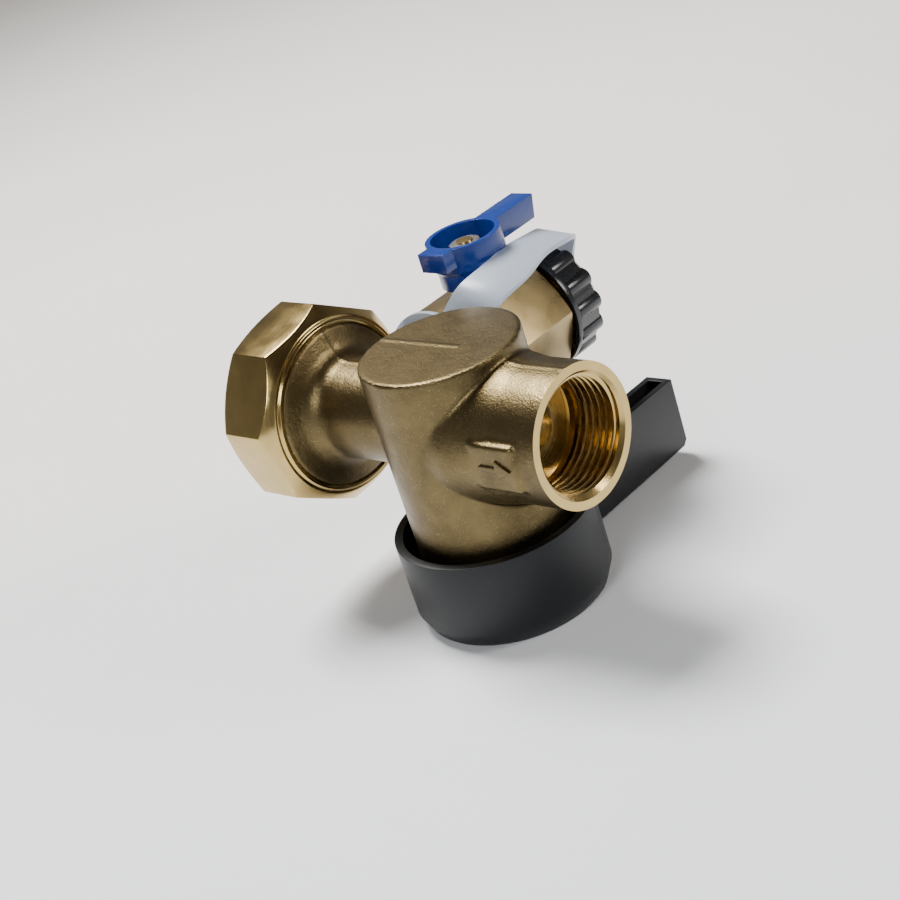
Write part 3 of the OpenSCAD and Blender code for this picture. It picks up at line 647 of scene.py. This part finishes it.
def build_finishes():
    """Makes every material of the object, keyed by the record's slot."""
    finish = settings("valve_finish")
    grain, rings, skin = cast_grain_group(), turning_group(), moulded_group()
    return {
        "cast_brass": cast_brass(grain, finish.cast),
        "machined_brass": turned_brass("machined_brass", rings, finish.machined, "X", PIPE, 0.17),
        "nut_brass": turned_brass("nut_brass", rings, finish.machined, "X", PIPE, 0.15, rings=0.25,
                                  depth=0.004),
        "hex_brass": turned_brass("hex_brass", rings, finish.pressed, "Y", DRAIN, 0.27, rings=0.06,
                                  depth=0.0008),
        "drain_brass": turned_brass("drain_brass", rings, finish.machined, "Y", DRAIN, 0.20),
        "stem_brass": turned_brass("stem_brass", rings, finish.machined, "Z", STEM, 0.22),
        "ring_bronze": turned_brass("ring_bronze", rings, (0.30, 0.19, 0.10), "X", PIPE, 0.32),
        "plated_ball": turned_brass("plated_ball", rings, (0.80, 0.80, 0.81), "Y", STEM, 0.06, depth=0.001),
        "steel": turned_brass("steel", rings, (0.62, 0.60, 0.57), "Z", DRAIN_STEM, 0.24),
        "black_plastic": moulded("black_plastic", skin, finish.black, 0.42, Specular_IOR_Level=0.32),
        "cap_plastic": moulded("cap_plastic", skin, finish.cap, 0.22, scuff=0.2),
        "blue_plastic": moulded("blue_plastic", skin, finish.blue, 0.24, scuff=0.12, Coat_Weight=0.15),
        "strap_plastic": moulded("strap_plastic", skin, finish.strap, 0.34, scuff=0.05,
                                 Transmission_Weight=0.45, IOR=1.5),
        "check_plastic": moulded("check_plastic", skin, (0.70, 0.72, 0.72), 0.35),
        "poppet_plastic": moulded("poppet_plastic", skin, (0.16, 0.19, 0.24), 0.38),
        "ptfe": moulded("ptfe", skin, (0.82, 0.81, 0.77), 0.45),
        "rubber": moulded("rubber", skin, (0.018, 0.018, 0.018), 0.62, depth=0.02),
        "gasket": moulded("gasket", skin, (0.035, 0.040, 0.038), 0.60, depth=0.03),
    }


MATERIALS = {}


# ---- pieces ----

def inlet_profile(body):
    """Outline of the neck, its flare and the collar, from the barrel to the collar's face."""
    face = BODY_LOW.x
    bend = body.flare_radius
    back = face + 8.4 * MM
    rim = NUT_HIGH.x - 0.1 * MM
    over = 0.5 * MM
    curve = arc(body.neck_radius + bend, back + bend, bend, 180, 255)
    return [(0, STEM_X), (body.neck_radius, STEM_X), *curve, (body.collar_radius + over, rim),
            (body.collar_radius + over, face - over), (0, face - over)]


def cast_skin(body):
    """The casting before it is machined."""
    boss, flared = body.boss_radius, body.boss_radius + body.boss_flare
    half_flared = boss + body.boss_flare * 0.35
    flare_end = STEM_X + body.barrel_radius + 4 * MM
    face_over = 1 * MM
    barrel = turned("valve_body", rod(body.barrel_radius, BODY_LOW.z, BODY_HIGH.z), centre=STEM)
    outlet = turned("outlet_boss", [
        (0, STEM_X), (flared, STEM_X), (flared, STEM_X + 9 * MM), (half_flared, STEM_X + 17 * MM),
        (boss, flare_end), (boss, face_over), (0, face_over)], "X")
    inlet = turned("inlet_neck", inlet_profile(body), "X")
    drain = turned("drain_boss", rod(body.drain_boss_radius, 0, DRAIN_LOW.y + 6 * MM), "Y", DRAIN)
    pad = Vector((5.7, 2.6, 5.3)) * MM
    pad_y = -boss + 2 * MM
    arrow_pad = block("arrow_pad", (PAD_X - pad.x, pad_y - pad.y, -pad.z), (PAD_X + pad.x, pad_y, pad.z))
    return cast(join([barrel, outlet, inlet, drain, arrow_pad]), body.grid, 5)


def raise_parting_line(skin, body):
    """Lifts a thin line where the two halves of the mould met."""
    top, reach = BODY_HIGH.z - 0.6 * MM, body.grid * 0.8
    neck_start, drain_side = STEM_X - body.barrel_radius, STEM_X + 6 * MM

    def on_line(vertex):
        x, y, z = vertex.co
        outside = z > 0 or x < neck_start
        on_collar = x < neck_start and z < 0
        return abs(y) < reach and outside and not (z > top and x > drain_side) and not on_collar

    pick(skin, "verts", on_line)
    bpy.ops.transform.shrink_fatten(value=body.parting_line)
    leave_edit()
    return skin


def flow_arrow(body, material):
    """A plain arrow on the pad, which points the way the water leaves."""
    front = -body.boss_radius - 0.6 * MM
    proud, half_width = 0.55 * MM, 0.6 * MM
    shaft = block("arrow_shaft", (PAD_X - 4 * MM, front - proud, -half_width),
                  (PAD_X + 1.5 * MM, front + proud, half_width))
    deselect_all()
    bpy.ops.mesh.primitive_cylinder_add(vertices=3, radius=2.6 * MM, depth=2 * proud,
                                        location=(PAD_X + 2 * MM, front, 0), rotation=(math.pi / 2, 0, 0))
    head = bpy.context.active_object
    activate(head)
    bpy.ops.transform.rotate(value=-math.pi / 2, orient_axis="Y", center_override=head.location)
    head = added("arrow_head")
    return paint(soften(combine(shaft, head), 0.22 * MM, 2), material)


def pipe_tool(body):
    """Everything that is turned along the pipe: faces, outlet bore, throats, seats and check pocket."""
    face, depth = BODY_LOW.x, body.outlet_depth
    throat, seat, pocket, recess = body.throat_radius, 10.55 * MM, 9.1 * MM, 11.1 * MM
    seat_half, throat_end = 14 * MM, STEM_X - 24 * MM
    recess_end = face + 1.5 * MM
    wide, over = 24 * MM, 3 * MM
    tool = turned("pipe_tool", [
        (0, over), (wide, over), (wide, 0), (OUTLET_BORE + body.mouth_chamfer * 1.1, 0),
        (OUTLET_BORE, -body.mouth_chamfer), (OUTLET_BORE, -depth), (throat, -depth - 1 * MM),
        (throat, STEM_X + seat_half), (seat, STEM_X + seat_half), (seat, STEM_X - seat_half),
        (throat, STEM_X - seat_half), (throat, throat_end), (pocket, throat_end), (pocket, recess_end),
        (recess, recess_end), (recess, face), (wide, face), (wide, face - over), (0, face - over)], "X")
    crest = OUTLET_BORE + THREAD_DEPTH * body.outlet_pitch
    tap = threaded("outlet_tap", OUTLET_BORE - 0.3 * MM, crest, body.outlet_pitch, -depth + 1.5 * MM, 1 * MM,
                   "X", PIPE)
    return combine(tool, tap)


def rim_tool(body):
    """The collar's rim with its snap ring groove."""
    radius, middle, rim = body.collar_radius, (RING_LOW.x + RING_HIGH.x) / 2, NUT_HIGH.x - 0.7 * MM
    wire = (RING_HIGH.x - RING_LOW.x) / 2 + 0.02 * MM
    groove = arc(radius, middle, wire, 90, 270, 10)
    outside, end, relief = radius + 3 * MM, BODY_LOW.x - 2 * MM, 1 * MM
    return turned("rim_tool", [(radius, rim), *groove, (radius, end), (outside, end), (outside, rim + relief),
                               (radius + relief, rim + relief), (radius, rim)], "X")


class VALVE_OT_body(bpy.types.Operator):
    """Casts the valve body, then machines its bores, faces and outlet thread"""
    bl_idname = "valve.body"
    bl_label = "Valve body"

    def execute(self, context):
        body = settings("valve_body_sizes")
        skin = paint(raise_parting_line(cast_skin(body), body), MATERIALS["cast_brass"])
        combine(skin, flow_arrow(body, MATERIALS["cast_brass"]))
        bottom, shoulder, top = BODY_LOW.z - 2 * MM, -15.5 * MM, 12 * MM
        wide, narrow = 14 * MM, 13.2 * MM
        chamber = [(0, bottom), (wide, bottom), (wide, shoulder), (narrow, shoulder), (narrow, top), (0, top)]
        waterway, spigot, spot = 3.5 * MM, 8.38 * MM, 16.23 * MM
        spigot_y, spot_y = DRAIN_LOW.y - 0.1 * MM, DRAIN_LOW.y + 4.9 * MM
        socket = [(0, 0), (waterway, 0), (waterway, spigot_y), (spigot, spigot_y), (spigot, spot_y),
                  (spot, spot_y), (spot, spot_y + 12 * MM), (0, spot_y + 12 * MM)]
        tools = [pipe_tool(body), turned("chamber_tool", chamber, centre=STEM),
                 turned("drain_tool", socket, "Y", DRAIN), rim_tool(body)]
        for tool in tools[1:]:
            combine(tools[0], tool)
        combine(skin, paint(tools[0], MATERIALS["machined_brass"]), "DIFFERENCE")
        place(skin, "body", "cast_brass", "valve_body", smooth=40)
        return {"FINISHED"}


class VALVE_OT_union_nut(bpy.types.Operator):
    """Makes the octagon nut with its turned ends, stepped lip and inner thread"""
    bl_idname = "valve.union_nut"
    bl_label = "Union nut"

    def execute(self, context):
        nut = settings("valve_union_sizes")
        mouth, front = NUT_LOW.x, NUT_HIGH.x
        flat, corner = nut.inner_radius, nut.inner_radius / math.cos(math.pi / nut.flats)
        clear, fine = corner + 0.1 * MM, 128
        shoulder = front - nut.step
        ring = nut.hole_radius + 1.0 * MM
        blank = prism("union_nut", nut.flats, flat, mouth - MM, front + MM, nut.flat_turn, "X", PIPE)
        ends = turned("nut_ends", [
            (0, mouth), (flat - 0.3 * MM, mouth), (clear, mouth + 1.6 * MM), (clear, shoulder - 3.3 * MM),
            (flat - 0.7 * MM, shoulder - 0.75 * MM), (ring + 1.0 * MM, shoulder), (ring + 0.3 * MM, shoulder),
            (ring, front), (0, front)], "X", sides=fine)
        combine(blank, ends, "INTERSECT")
        soften(blank, 0.22 * MM, 3, 12)
        seat = front - nut.lip
        crest = UNION_BORE + THREAD_DEPTH * nut.pitch
        entry, past = crest + 0.3 * MM, crest + 0.1 * MM
        relief = mouth + 6.7 * MM
        hole, hole_edge = nut.hole_radius, nut.hole_radius + 0.4 * MM
        bore = turned("nut_bore", [
            (0, mouth - MM), (entry, mouth - MM), (entry, mouth + 0.3 * MM), (UNION_BORE, mouth + 1.9 * MM),
            (UNION_BORE, relief), (past, relief + 0.5 * MM), (past, seat), (hole, seat),
            (hole, front - 0.3 * MM), (hole_edge, front + 0.1 * MM), (hole_edge, front + MM),
            (0, front + MM)], "X", sides=fine)
        tap = threaded("nut_tap", UNION_BORE - 0.3 * MM, crest, nut.pitch, mouth - 0.8 * MM,
                       relief + 0.2 * MM, "X", PIPE)
        combine(bore, tap)
        paint(blank, MATERIALS["nut_brass"])
        combine(blank, paint(bore, MATERIALS["machined_brass"]), "DIFFERENCE")
        place(blank, "union", "machined_brass", "union_nut", smooth=28)
        return {"FINISHED"}


class VALVE_OT_handle(bpy.types.Operator):
    """Moulds the black cup handle with its hollow lever"""
    bl_idname = "valve.handle"
    bl_label = "Main handle"

    def execute(self, context):
        handle = settings("valve_handle_sizes")
        base, rim = HANDLE_LOW.z, HANDLE_HIGH.z
        radius = (HANDLE_HIGH.x - HANDLE_LOW.x) / 2
        inner = radius - handle.wall
        floor_z, hub, hub_top = base + 4 * MM, 8.5 * MM, BODY_LOW.z - 0.5 * MM
        recess, recess_top = 6 * MM, base + 5 * MM
        foot, foot_edge = radius - handle.base_step, 0.6 * MM
        cup = turned("main_handle", [
            (0, hub_top), (hub, hub_top), (hub, floor_z), (inner, floor_z), (inner, rim), (radius, rim),
            (radius, base + handle.bevel_height), (foot, base + foot_edge), (foot - foot_edge, base),
            (recess, base), (recess, recess_top), (0, recess_top)], centre=STEM, sides=128)
        half, end = handle.lever_width / 2, HANDLE_HIGH.y
        top, lever_foot = rim - 0.95 * MM, rim - 0.95 * MM - 16 * MM
        lever = block("lever", (STEM_X - half, inner + 0.5 * MM, lever_foot - 1.7 * MM),
                      (STEM_X + half, end, top))

        def under_lever(edge):
            a, b = (vertex.co for vertex in edge.verts)
            return max(a.z, b.z) < lever_foot and (abs(a.x - b.x) < MM or min(a.y, b.y) > end - MM)

        pick(lever, "edges", under_lever)
        bpy.ops.mesh.bevel(offset=1.3 * MM, segments=1, affect="EDGES")
        leave_edit()
        wall = handle.lever_wall
        combine(lever, block("channel", (STEM_X - half + wall, radius - 0.2 * MM, lever_foot + 2.4 * MM),
                             (STEM_X + half - wall, end - wall, top + MM)), "DIFFERENCE")
        combine(cup, lever)
        soften(cup, handle.rounding, 3, 28)
        paint(cup, MATERIALS["black_plastic"])
        place(cup, "main_valve", "black_plastic", "main_handle", smooth=35)
        return {"FINISHED"}


class VALVE_OT_drain_body(bpy.types.Operator):
    """Makes the hexagon body of the drain valve with its hose thread and stem tower"""
    bl_idname = "valve.drain_body"
    bl_label = "Drain body"

    def execute(self, context):
        drain = settings("valve_drain_sizes")
        start, end, hose_end = drain.hex_start, drain.hex_end, DRAIN_HIGH.y
        flat, corner = drain.hex_radius, drain.hex_radius / math.cos(math.pi / 6)
        clear, slope = corner + 0.1 * MM, 1.25 * MM
        body = prism("drain_body", 6, flat, start - MM, end + MM, drain.hex_turn, "Y", DRAIN)
        ends = turned("hex_ends", [
            (0, start), (flat - 0.5 * MM, start), (clear, start + slope), (clear, end - slope),
            (flat - 0.7 * MM, end), (0, end)], "Y", DRAIN)
        combine(body, ends, "INTERSECT")
        tower, tower_top, tower_edge = drain.tower_radius, DRAIN_HIGH.z, 0.4 * MM
        combine(body, turned("tower", [
            (0, 0), (tower, 0), (tower, tower_top - tower_edge), (tower - tower_edge, tower_top),
            (0, tower_top)], centre=DRAIN_STEM, sides=64))
        soften(body, 0.35 * MM, 3, 25)
        crest = drain.hose_radius
        root = crest - THREAD_DEPTH * drain.hose_pitch * 2
        hose = threaded("hose_thread", root, crest, drain.hose_pitch, end - 0.5 * MM, hose_end, "Y", DRAIN)
        guard = turned("hose_ends", [
            (0, end - MM), (crest + MM, end - MM), (crest + MM, hose_end - 1.6 * MM),
            (root - 0.2 * MM, hose_end), (0, hose_end)], "Y", DRAIN)
        combine(hose, guard, "INTERSECT")
        spigot = turned("spigot", rod(8.33 * MM, DRAIN_LOW.y, start + MM), "Y", DRAIN, sides=64)
        paint(body, MATERIALS["hex_brass"])
        combine(body, paint(hose, MATERIALS["drain_brass"]))
        combine(body, paint(spigot, MATERIALS["drain_brass"]))
        inlet, waterway, outlet, mouth = DRAIN_LOW.y - MM, 3.5 * MM, 8.1 * MM, 8.9 * MM
        step_y = 24.4 * MM
        bore = turned("drain_bore", [
            (0, inlet), (waterway, inlet), (waterway, step_y), (outlet, step_y),
            (outlet, hose_end - 0.6 * MM), (mouth, hose_end + 0.2 * MM), (mouth, hose_end + MM),
            (0, hose_end + MM)], "Y", DRAIN, sides=64)
        combine(bore, turned("stem_bore", rod(2.65 * MM, 0, 20 * MM), centre=DRAIN_STEM, sides=48))
        combine(body, paint(bore, MATERIALS["drain_brass"]), "DIFFERENCE")
        place(body, "body", "hex_brass", "drain_body", smooth=30)
        return {"FINISHED"}


class VALVE_OT_drain_handle(bpy.types.Operator):
    """Moulds the blue drain handle: hub with a recess, lever and thumb tab"""
    bl_idname = "valve.drain_handle"
    bl_label = "Drain handle"

    def execute(self, context):
        drain = settings("valve_drain_sizes")
        top, bottom = LEVER_HIGH.z, LEVER_LOW.z
        hub = drain.hub_radius
        skirt, socket = hub - 0.9 * MM, hub - 1.9 * MM
        floor_z = top - 4.9 * MM
        under = floor_z - 2.4 * MM
        piece = turned("drain_handle", [
            (0, under), (socket, under), (socket, bottom), (skirt, bottom), (skirt, floor_z - 2.2 * MM),
            (hub, floor_z - 1.2 * MM), (hub, top), (0, top)], centre=DRAIN_STEM)
        half = drain.lever_width / 2
        lever = block("blue_lever", (DRAIN_X - half, DRAIN_Y, top - drain.lever_height),
                      (DRAIN_X + half, LEVER_HIGH.y, top))
        pick(lever, "verts", lambda vertex: vertex.co.y > DRAIN_Y + MM and vertex.co.z < top - MM)
        bpy.ops.transform.translate(value=(0, -1.3 * MM, 0))
        leave_edit()
        combine(piece, lever)
        half = drain.tab_width / 2
        combine(piece, block("thumb_tab", (DRAIN_X - half, LEVER_LOW.y, top - drain.tab_height),
                             (DRAIN_X + half, DRAIN_Y, top)))
        recess = turned("hub_recess", rod(hub - drain.hub_wall, floor_z, top + MM), centre=DRAIN_STEM)
        combine(piece, recess, "DIFFERENCE")
        hole = 1.95 * MM
        combine(piece, block("stem_hole", (DRAIN_X - hole, DRAIN_Y - hole, bottom - MM),
                             (DRAIN_X + hole, DRAIN_Y + hole, top)), "DIFFERENCE")
        soften(piece, 0.4 * MM, 3, 28)
        paint(piece, MATERIALS["blue_plastic"])
        place(piece, "drain_valve", "blue_plastic", "drain_handle", smooth=35)
        return {"FINISHED"}


class VALVE_OT_cap(bpy.types.Operator):
    """Moulds the lobed drain cap with its plain inner bore"""
    bl_idname = "valve.cap"
    bl_label = "Drain cap"

    def execute(self, context):
        drain = settings("valve_drain_sizes")
        mouth, end = CAP_LOW.y, CAP_HIGH.y
        skirt, ridge, shoulder = 15.0 * MM, 14.35 * MM, 2.6 * MM
        cap = turned("drain_cap", [
            (0, mouth), (skirt, mouth), (skirt, mouth + 1.4 * MM), (ridge, mouth + 1.9 * MM),
            (ridge, end - 2.2 * MM), (skirt - shoulder, end), (0, end)], "Y", DRAIN)
        lobe_reach = skirt + 0.15 * MM - drain.lobe_radius
        deselect_all()
        bpy.ops.mesh.primitive_cylinder_add(vertices=24, radius=drain.lobe_radius,
                                            depth=end - mouth - shoulder,
                                            location=(lobe_reach, 0, (mouth + end) / 2))
        lobe = soften(added("lobe"), 0.5 * MM, 3, 40)
        lobes = [lobe]
        for index in range(1, drain.lobes):
            activate(lobe)
            bpy.ops.object.duplicate()
            copy = bpy.context.active_object
            copy.rotation_euler = (0, 0, math.tau * index / drain.lobes)
            bpy.ops.object.transform_apply(location=True, rotation=True, scale=True)
            lobes.append(copy)
        combine(cap, turned_to(join(lobes), "Y", DRAIN))
        soften(cap, 0.25 * MM, 3, 28)
        paint(cap, MATERIALS["cap_plastic"])
        bore, floor_y, hole = drain.hose_radius + 0.3 * MM, 56.2 * MM, 2.1 * MM
        entry = bore + 0.5 * MM
        inside = turned("cap_bore", [
            (0, mouth - MM), (entry, mouth - MM), (entry, mouth), (bore, mouth + 0.6 * MM), (bore, floor_y),
            (hole, floor_y), (hole, end + MM), (0, end + MM)], "Y", DRAIN)
        combine(cap, paint(inside, MATERIALS["cap_plastic"]), "DIFFERENCE")
        place(cap, "cap", "cap_plastic", "drain_cap", smooth=35)
        return {"FINISHED"}


class VALVE_OT_strap(bpy.types.Operator):
    """Bends the milky strap from its eyelet behind the body over to the end of the cap"""
    bl_idname = "valve.strap"
    bl_label = "Strap"

    def edge(self, aside, start_angle, end_angle, eyelet_y, end_y):
        """One long edge of the ribbon, aside from its middle line, as a chain of mesh edges."""
        deselect_all()
        bpy.ops.curve.primitive_bezier_curve_add(radius=MM)
        edge = bpy.context.active_object
        data = edge.data
        data.dimensions, data.resolution_u = "3D", 16
        bpy.ops.object.mode_set(mode="EDIT")
        bpy.ops.curve.select_all(action="SELECT")
        bpy.ops.curve.subdivide(number_cuts=2)
        leave_edit()
        # In millimetres: distance from the drain axis, place along it, share of the turn about it, share of
        # the twist, and the slope through the knot.
        knots = [(13.6, eyelet_y / MM, 0.0, 0.0, (9, 3.4)), (24.6, 27.6, 0.0, 0.6, (1.2, 8.0)),
                 (22.5, 47.0, 0.2, 1.0, (-1.5, 9.5)), (5.4, end_y / MM, 1.0, 1.0, (-10, -2.2))]
        for point, (out, along, share, twist, slope) in zip(data.splines[0].bezier_points, knots):
            turn, lean = (start_angle + (end_angle - start_angle) * part for part in (share, twist))
            outward = Vector((math.cos(turn), 0, math.sin(turn)))
            sideways = Vector((-math.sin(lean), 0, math.cos(lean)))
            where = Vector((DRAIN_X, along * MM, 0)) + outward * out * MM + sideways * aside
            reach = (outward * slope[0] + Vector((0, slope[1], 0))) * MM
            point.handle_left_type = point.handle_right_type = "FREE"
            point.co, point.handle_left, point.handle_right = where, where - reach, where + reach
        activate(edge)
        bpy.ops.object.convert(target="MESH")
        edge = bpy.context.active_object
        bpy.ops.object.transform_apply(location=True, rotation=True, scale=True)
        return edge

    def execute(self, context):
        strap = settings("valve_strap_sizes")
        thick = strap.thickness
        eyelet_y, end_y = DRAIN_LOW.y + 5.5 * MM, RIVET_LOW.y + 4.1 * MM
        edges = [self.edge(side * strap.width / 2, strap.start_angle, strap.end_angle, eyelet_y, end_y)
                 for side in (-1, 1)]
        ribbon = join(edges)
        ribbon.name = ribbon.data.name = "strap"
        edit(ribbon)
        bpy.ops.mesh.bridge_edge_loops()
        bpy.ops.mesh.normals_make_consistent(inside=False)
        leave_edit()
        apply_modifier(ribbon, "SOLIDIFY", thickness=thick, offset=0)
        eyelet_hole, end_hole = 8.45 * MM, 2.05 * MM
        eyelet = turned("strap_eyelet", washer(eyelet_hole, strap.eyelet_radius, eyelet_y - thick / 2,
                                               eyelet_y + thick / 2), "Y", DRAIN)
        end = turned("strap_end_ring", washer(end_hole, strap.end_radius, end_y - thick / 2,
                                              end_y + thick / 2), "Y", DRAIN, sides=64)
        combine(combine(ribbon, eyelet), end)
        soften(ribbon, 0.2 * MM, 2, 40)
        paint(ribbon, MATERIALS["strap_plastic"])
        place(ribbon, None, "strap_plastic", "strap", smooth=45)
        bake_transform(ribbon)
        low, high = RIVET_LOW.y, RIVET_HIGH.y
        foot, foot_top, shank, head, crown = 2.6 * MM, low + 0.9 * MM, 2 * MM, 4 * MM, 3.4 * MM
        rivet = turned("strap_rivet", [
            (0, low), (foot, low), (foot, foot_top), (shank, foot_top), (shank, high - 1.2 * MM),
            (head, high - 1.2 * MM), (head, high - 0.8 * MM), (crown, high - 0.35 * MM),
            (shank, high - 0.05 * MM), (0, high)], "Y", DRAIN, sides=48)
        paint(rivet, MATERIALS["strap_plastic"])
        place(rivet, "strap_end", "strap_plastic", "strap_rivet")
        return {"FINISHED"}


class VALVE_OT_check_spring(bpy.types.Operator):
    """Winds the spring between the poppet and its guide"""
    bl_idname = "valve.check_spring"
    bl_label = "Check spring"

    def execute(self, context):
        wire, turns, steps = 0.35 * MM, 6, 40
        low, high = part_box("check_spring")
        coil = high.y - wire
        pitch = (high.x - low.x - 2 * wire) / turns
        deselect_all()
        bpy.ops.mesh.primitive_circle_add(vertices=14, radius=wire, location=(coil, 0, 0),
                                          rotation=(math.pi / 2, 0, 0))
        spring = added("check_spring")
        apply_modifier(spring, "SCREW", axis="Z", angle=math.tau, iterations=turns, screw_offset=pitch,
                       steps=steps, render_steps=steps, use_merge_vertices=False)
        edit(spring)
        bpy.ops.mesh.fill_holes(sides=0)
        bpy.ops.mesh.normals_make_consistent(inside=False)
        leave_edit()
        turned_to(spring, "X", (low.x + wire, 0, 0))
        paint(spring, MATERIALS["steel"])
        place(spring, None, "steel", "check_spring", smooth=60)
        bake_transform(spring)
        return {"FINISHED"}


class VALVE_OT_finishes(bpy.types.Operator):
    """Builds the finishes and gives them to the pieces that keep their own meshes"""
    bl_idname = "valve.finishes"
    bl_label = "Finishes"

    def execute(self, context):
        MATERIALS.update(build_finishes())
        chosen = {
            "ptfe": ("outlet_seat", "inlet_seat", "thrust_washer", "drain_inner_seat", "drain_outer_seat"),
            "machined_brass": ("bonnet",),
            "rubber": ("bonnet_o_ring", "stem_o_rings", "check_o_ring", "poppet_seal", "drain_stem_o_ring",
                       "cap_gasket"),
            "plated_ball": ("main_ball", "drain_ball"),
            "stem_brass": ("main_stem", "drain_stem"),
            "steel": ("handle_screw", "drain_handle_nut"),
            "check_plastic": ("check_housing", "check_guide"),
            "poppet_plastic": ("check_poppet",),
            "ring_bronze": ("snap_ring",),
            "gasket": ("inlet_gasket",),
            "drain_brass": ("drain_seat_retainer",),
        }
        for finish, names in chosen.items():
            for name in names:
                paint(frame["nodes"][name], MATERIALS[finish])
        return {"FINISHED"}


class VALVE_OT_stage(bpy.types.Operator):
    """Sets the pale floor, the soft light and the camera"""
    bl_idname = "valve.stage"
    bl_label = "Stage"

    def execute(self, context):
        stage = settings("valve_stage")
        low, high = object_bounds()
        middle = (low + high) / 2
        deselect_all()
        bpy.ops.mesh.primitive_plane_add(size=stage.floor_size, location=(middle.x, middle.y, low.z))
        floor = added("floor")
        material, nodes, shader, vector = new_material(
            "pale_floor", Base_Color=(0.8, 0.8, 0.8, 1), Roughness=0.55, Specular_IOR_Level=0.25)
        # The mottle is random tone. The near and far colours are painted light: cool and brighter towards the
        # camera, warm and dimmer away from it.
        mottle = nodes.remap(nodes.noise(vector, 9.0, 5.0, 0.6), 0.3, 0.7, 0.0, 1.0)
        near_painted_cool = nodes.mix(mottle, (0.80, 0.83, 0.87, 1), (0.84, 0.86, 0.89, 1))
        far_painted_warm = nodes.mix(mottle, (0.80, 0.77, 0.74, 1), (0.83, 0.80, 0.77, 1))
        parts = nodes.add("ShaderNodeSeparateXYZ")
        nodes.link(vector, parts.inputs[0])
        depth = nodes.math("SUBTRACT", nodes.math("MULTIPLY", parts.outputs[1], 0.58),
                           nodes.math("MULTIPLY", parts.outputs[0], 0.69))
        painted_light_fade = nodes.remap(depth, -0.02, 0.20, 0.0, 1.0)
        nodes.link(nodes.mix(painted_light_fade, near_painted_cool, far_painted_warm), shader.inputs["Base Color"])
        paint(floor, material)
        floor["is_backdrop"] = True
        self.light_room()
        self.light("key", "AREA", (-0.42, 0.10, 0.80), 0.36, 20.0, (1.0, 0.985, 0.96))
        self.light("front", "AREA", (0.25, -0.65, 0.45), 0.26, 3.0, (0.95, 0.975, 1.0))
        self.light("side", "AREA", (0.75, 0.45, 0.50), 0.30, 5.0, (1.0, 0.97, 0.93))
        self.aim_camera(stage)
        return {"FINISHED"}

    def light_room(self):
        """A dim room that is darker overhead."""
        world = bpy.data.worlds.new("room")
        bpy.context.scene.world = world
        world.use_nodes = True
        nodes = Nodes(world.node_tree)
        direction = nodes.add("ShaderNodeTexCoord").outputs["Generated"]
        parts = nodes.add("ShaderNodeSeparateXYZ")
        nodes.link(direction, parts.inputs[0])
        ramp = nodes.add("ShaderNodeValToRGB")
        nodes.link(nodes.remap(parts.outputs[2], -0.2, 1.0, 0.0, 1.0), ramp.inputs[0])
        stops = ramp.color_ramp.elements
        stops[0].position, stops[0].color = 0.0, (0.75, 0.78, 0.82, 1)
        stops[1].position, stops[1].color = 0.75, (0.16, 0.14, 0.13, 1)
        middle = stops.new(0.35)
        middle.color = (0.55, 0.54, 0.52, 1)
        background = world.node_tree.nodes["Background"]
        nodes.link(ramp.outputs[0], background.inputs[0])
        background.inputs[1].default_value = 0.42

    def light(self, name, kind, offset, size, power, tint):
        """A soft light that faces the object from an offset to its middle."""
        low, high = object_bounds()
        middle = (low + high) / 2
        deselect_all()
        bpy.ops.object.light_add(type=kind, location=middle + Vector(offset))
        lamp = bpy.context.active_object
        lamp.name = name
        lamp.data.size, lamp.data.energy, lamp.data.color = size, power, tint
        lamp.rotation_euler = (-Vector(offset)).to_track_quat("-Z", "Y").to_euler()

    def aim_camera(self, stage):
        """Puts the camera at its distance from the target and turns the picture."""
        a, e = stage.azimuth, stage.elevation
        back = Vector((math.sin(a) * math.cos(e), -math.cos(a) * math.cos(e), math.sin(e)))
        turn = (-back).to_track_quat("-Z", "Y") @ Quaternion((0, 0, 1), -stage.roll)
        bpy.ops.object.camera_add(location=Vector(stage.target) + back * stage.distance,
                                  rotation=turn.to_euler())
        camera = bpy.context.active_object
        camera.data.lens, camera.data.sensor_width = stage.lens, 36
        camera.data.clip_start, camera.data.clip_end = 0.01, 20
        bpy.context.scene.camera = camera


class VALVE_PT_sidebar(bpy.types.Panel):
    """Lists the valve's steps in the order in which they run"""
    bl_idname = "VALVE_PT_sidebar"
    bl_label = "Backflow preventer"
    bl_space_type = "VIEW_3D"
    bl_region_type = "UI"
    bl_category = "Valve"

    def draw(self, context):
        for step in STEPS:
            self.layout.operator(step.bl_idname)


GROUPS = {
    "valve_body_sizes": BodySettings,
    "valve_union_sizes": UnionSettings,
    "valve_handle_sizes": HandleSettings,
    "valve_drain_sizes": DrainSettings,
    "valve_strap_sizes": StrapSettings,
    "valve_finish": FinishSettings,
    "valve_stage": StageSettings,
}
STEPS = [VALVE_OT_finishes, VALVE_OT_body, VALVE_OT_union_nut, VALVE_OT_handle, VALVE_OT_drain_body,
         VALVE_OT_drain_handle, VALVE_OT_cap, VALVE_OT_strap, VALVE_OT_check_spring, VALVE_OT_stage]


def register():
    for kind in (*GROUPS.values(), *STEPS, VALVE_PT_sidebar):
        bpy.utils.register_class(kind)
    for name, group in GROUPS.items():
        setattr(bpy.types.Scene, name, PointerProperty(type=group))


def unregister():
    for name in GROUPS:
        delattr(bpy.types.Scene, name)
    for kind in (VALVE_PT_sidebar, *reversed(STEPS), *GROUPS.values()):
        bpy.utils.unregister_class(kind)


def main():
    register()
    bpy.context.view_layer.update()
    for step in STEPS:
        family, name = step.bl_idname.split(".")
        getattr(getattr(bpy.ops, family), name)()
        print("built", name)


if __name__ == "__main__":
    main()
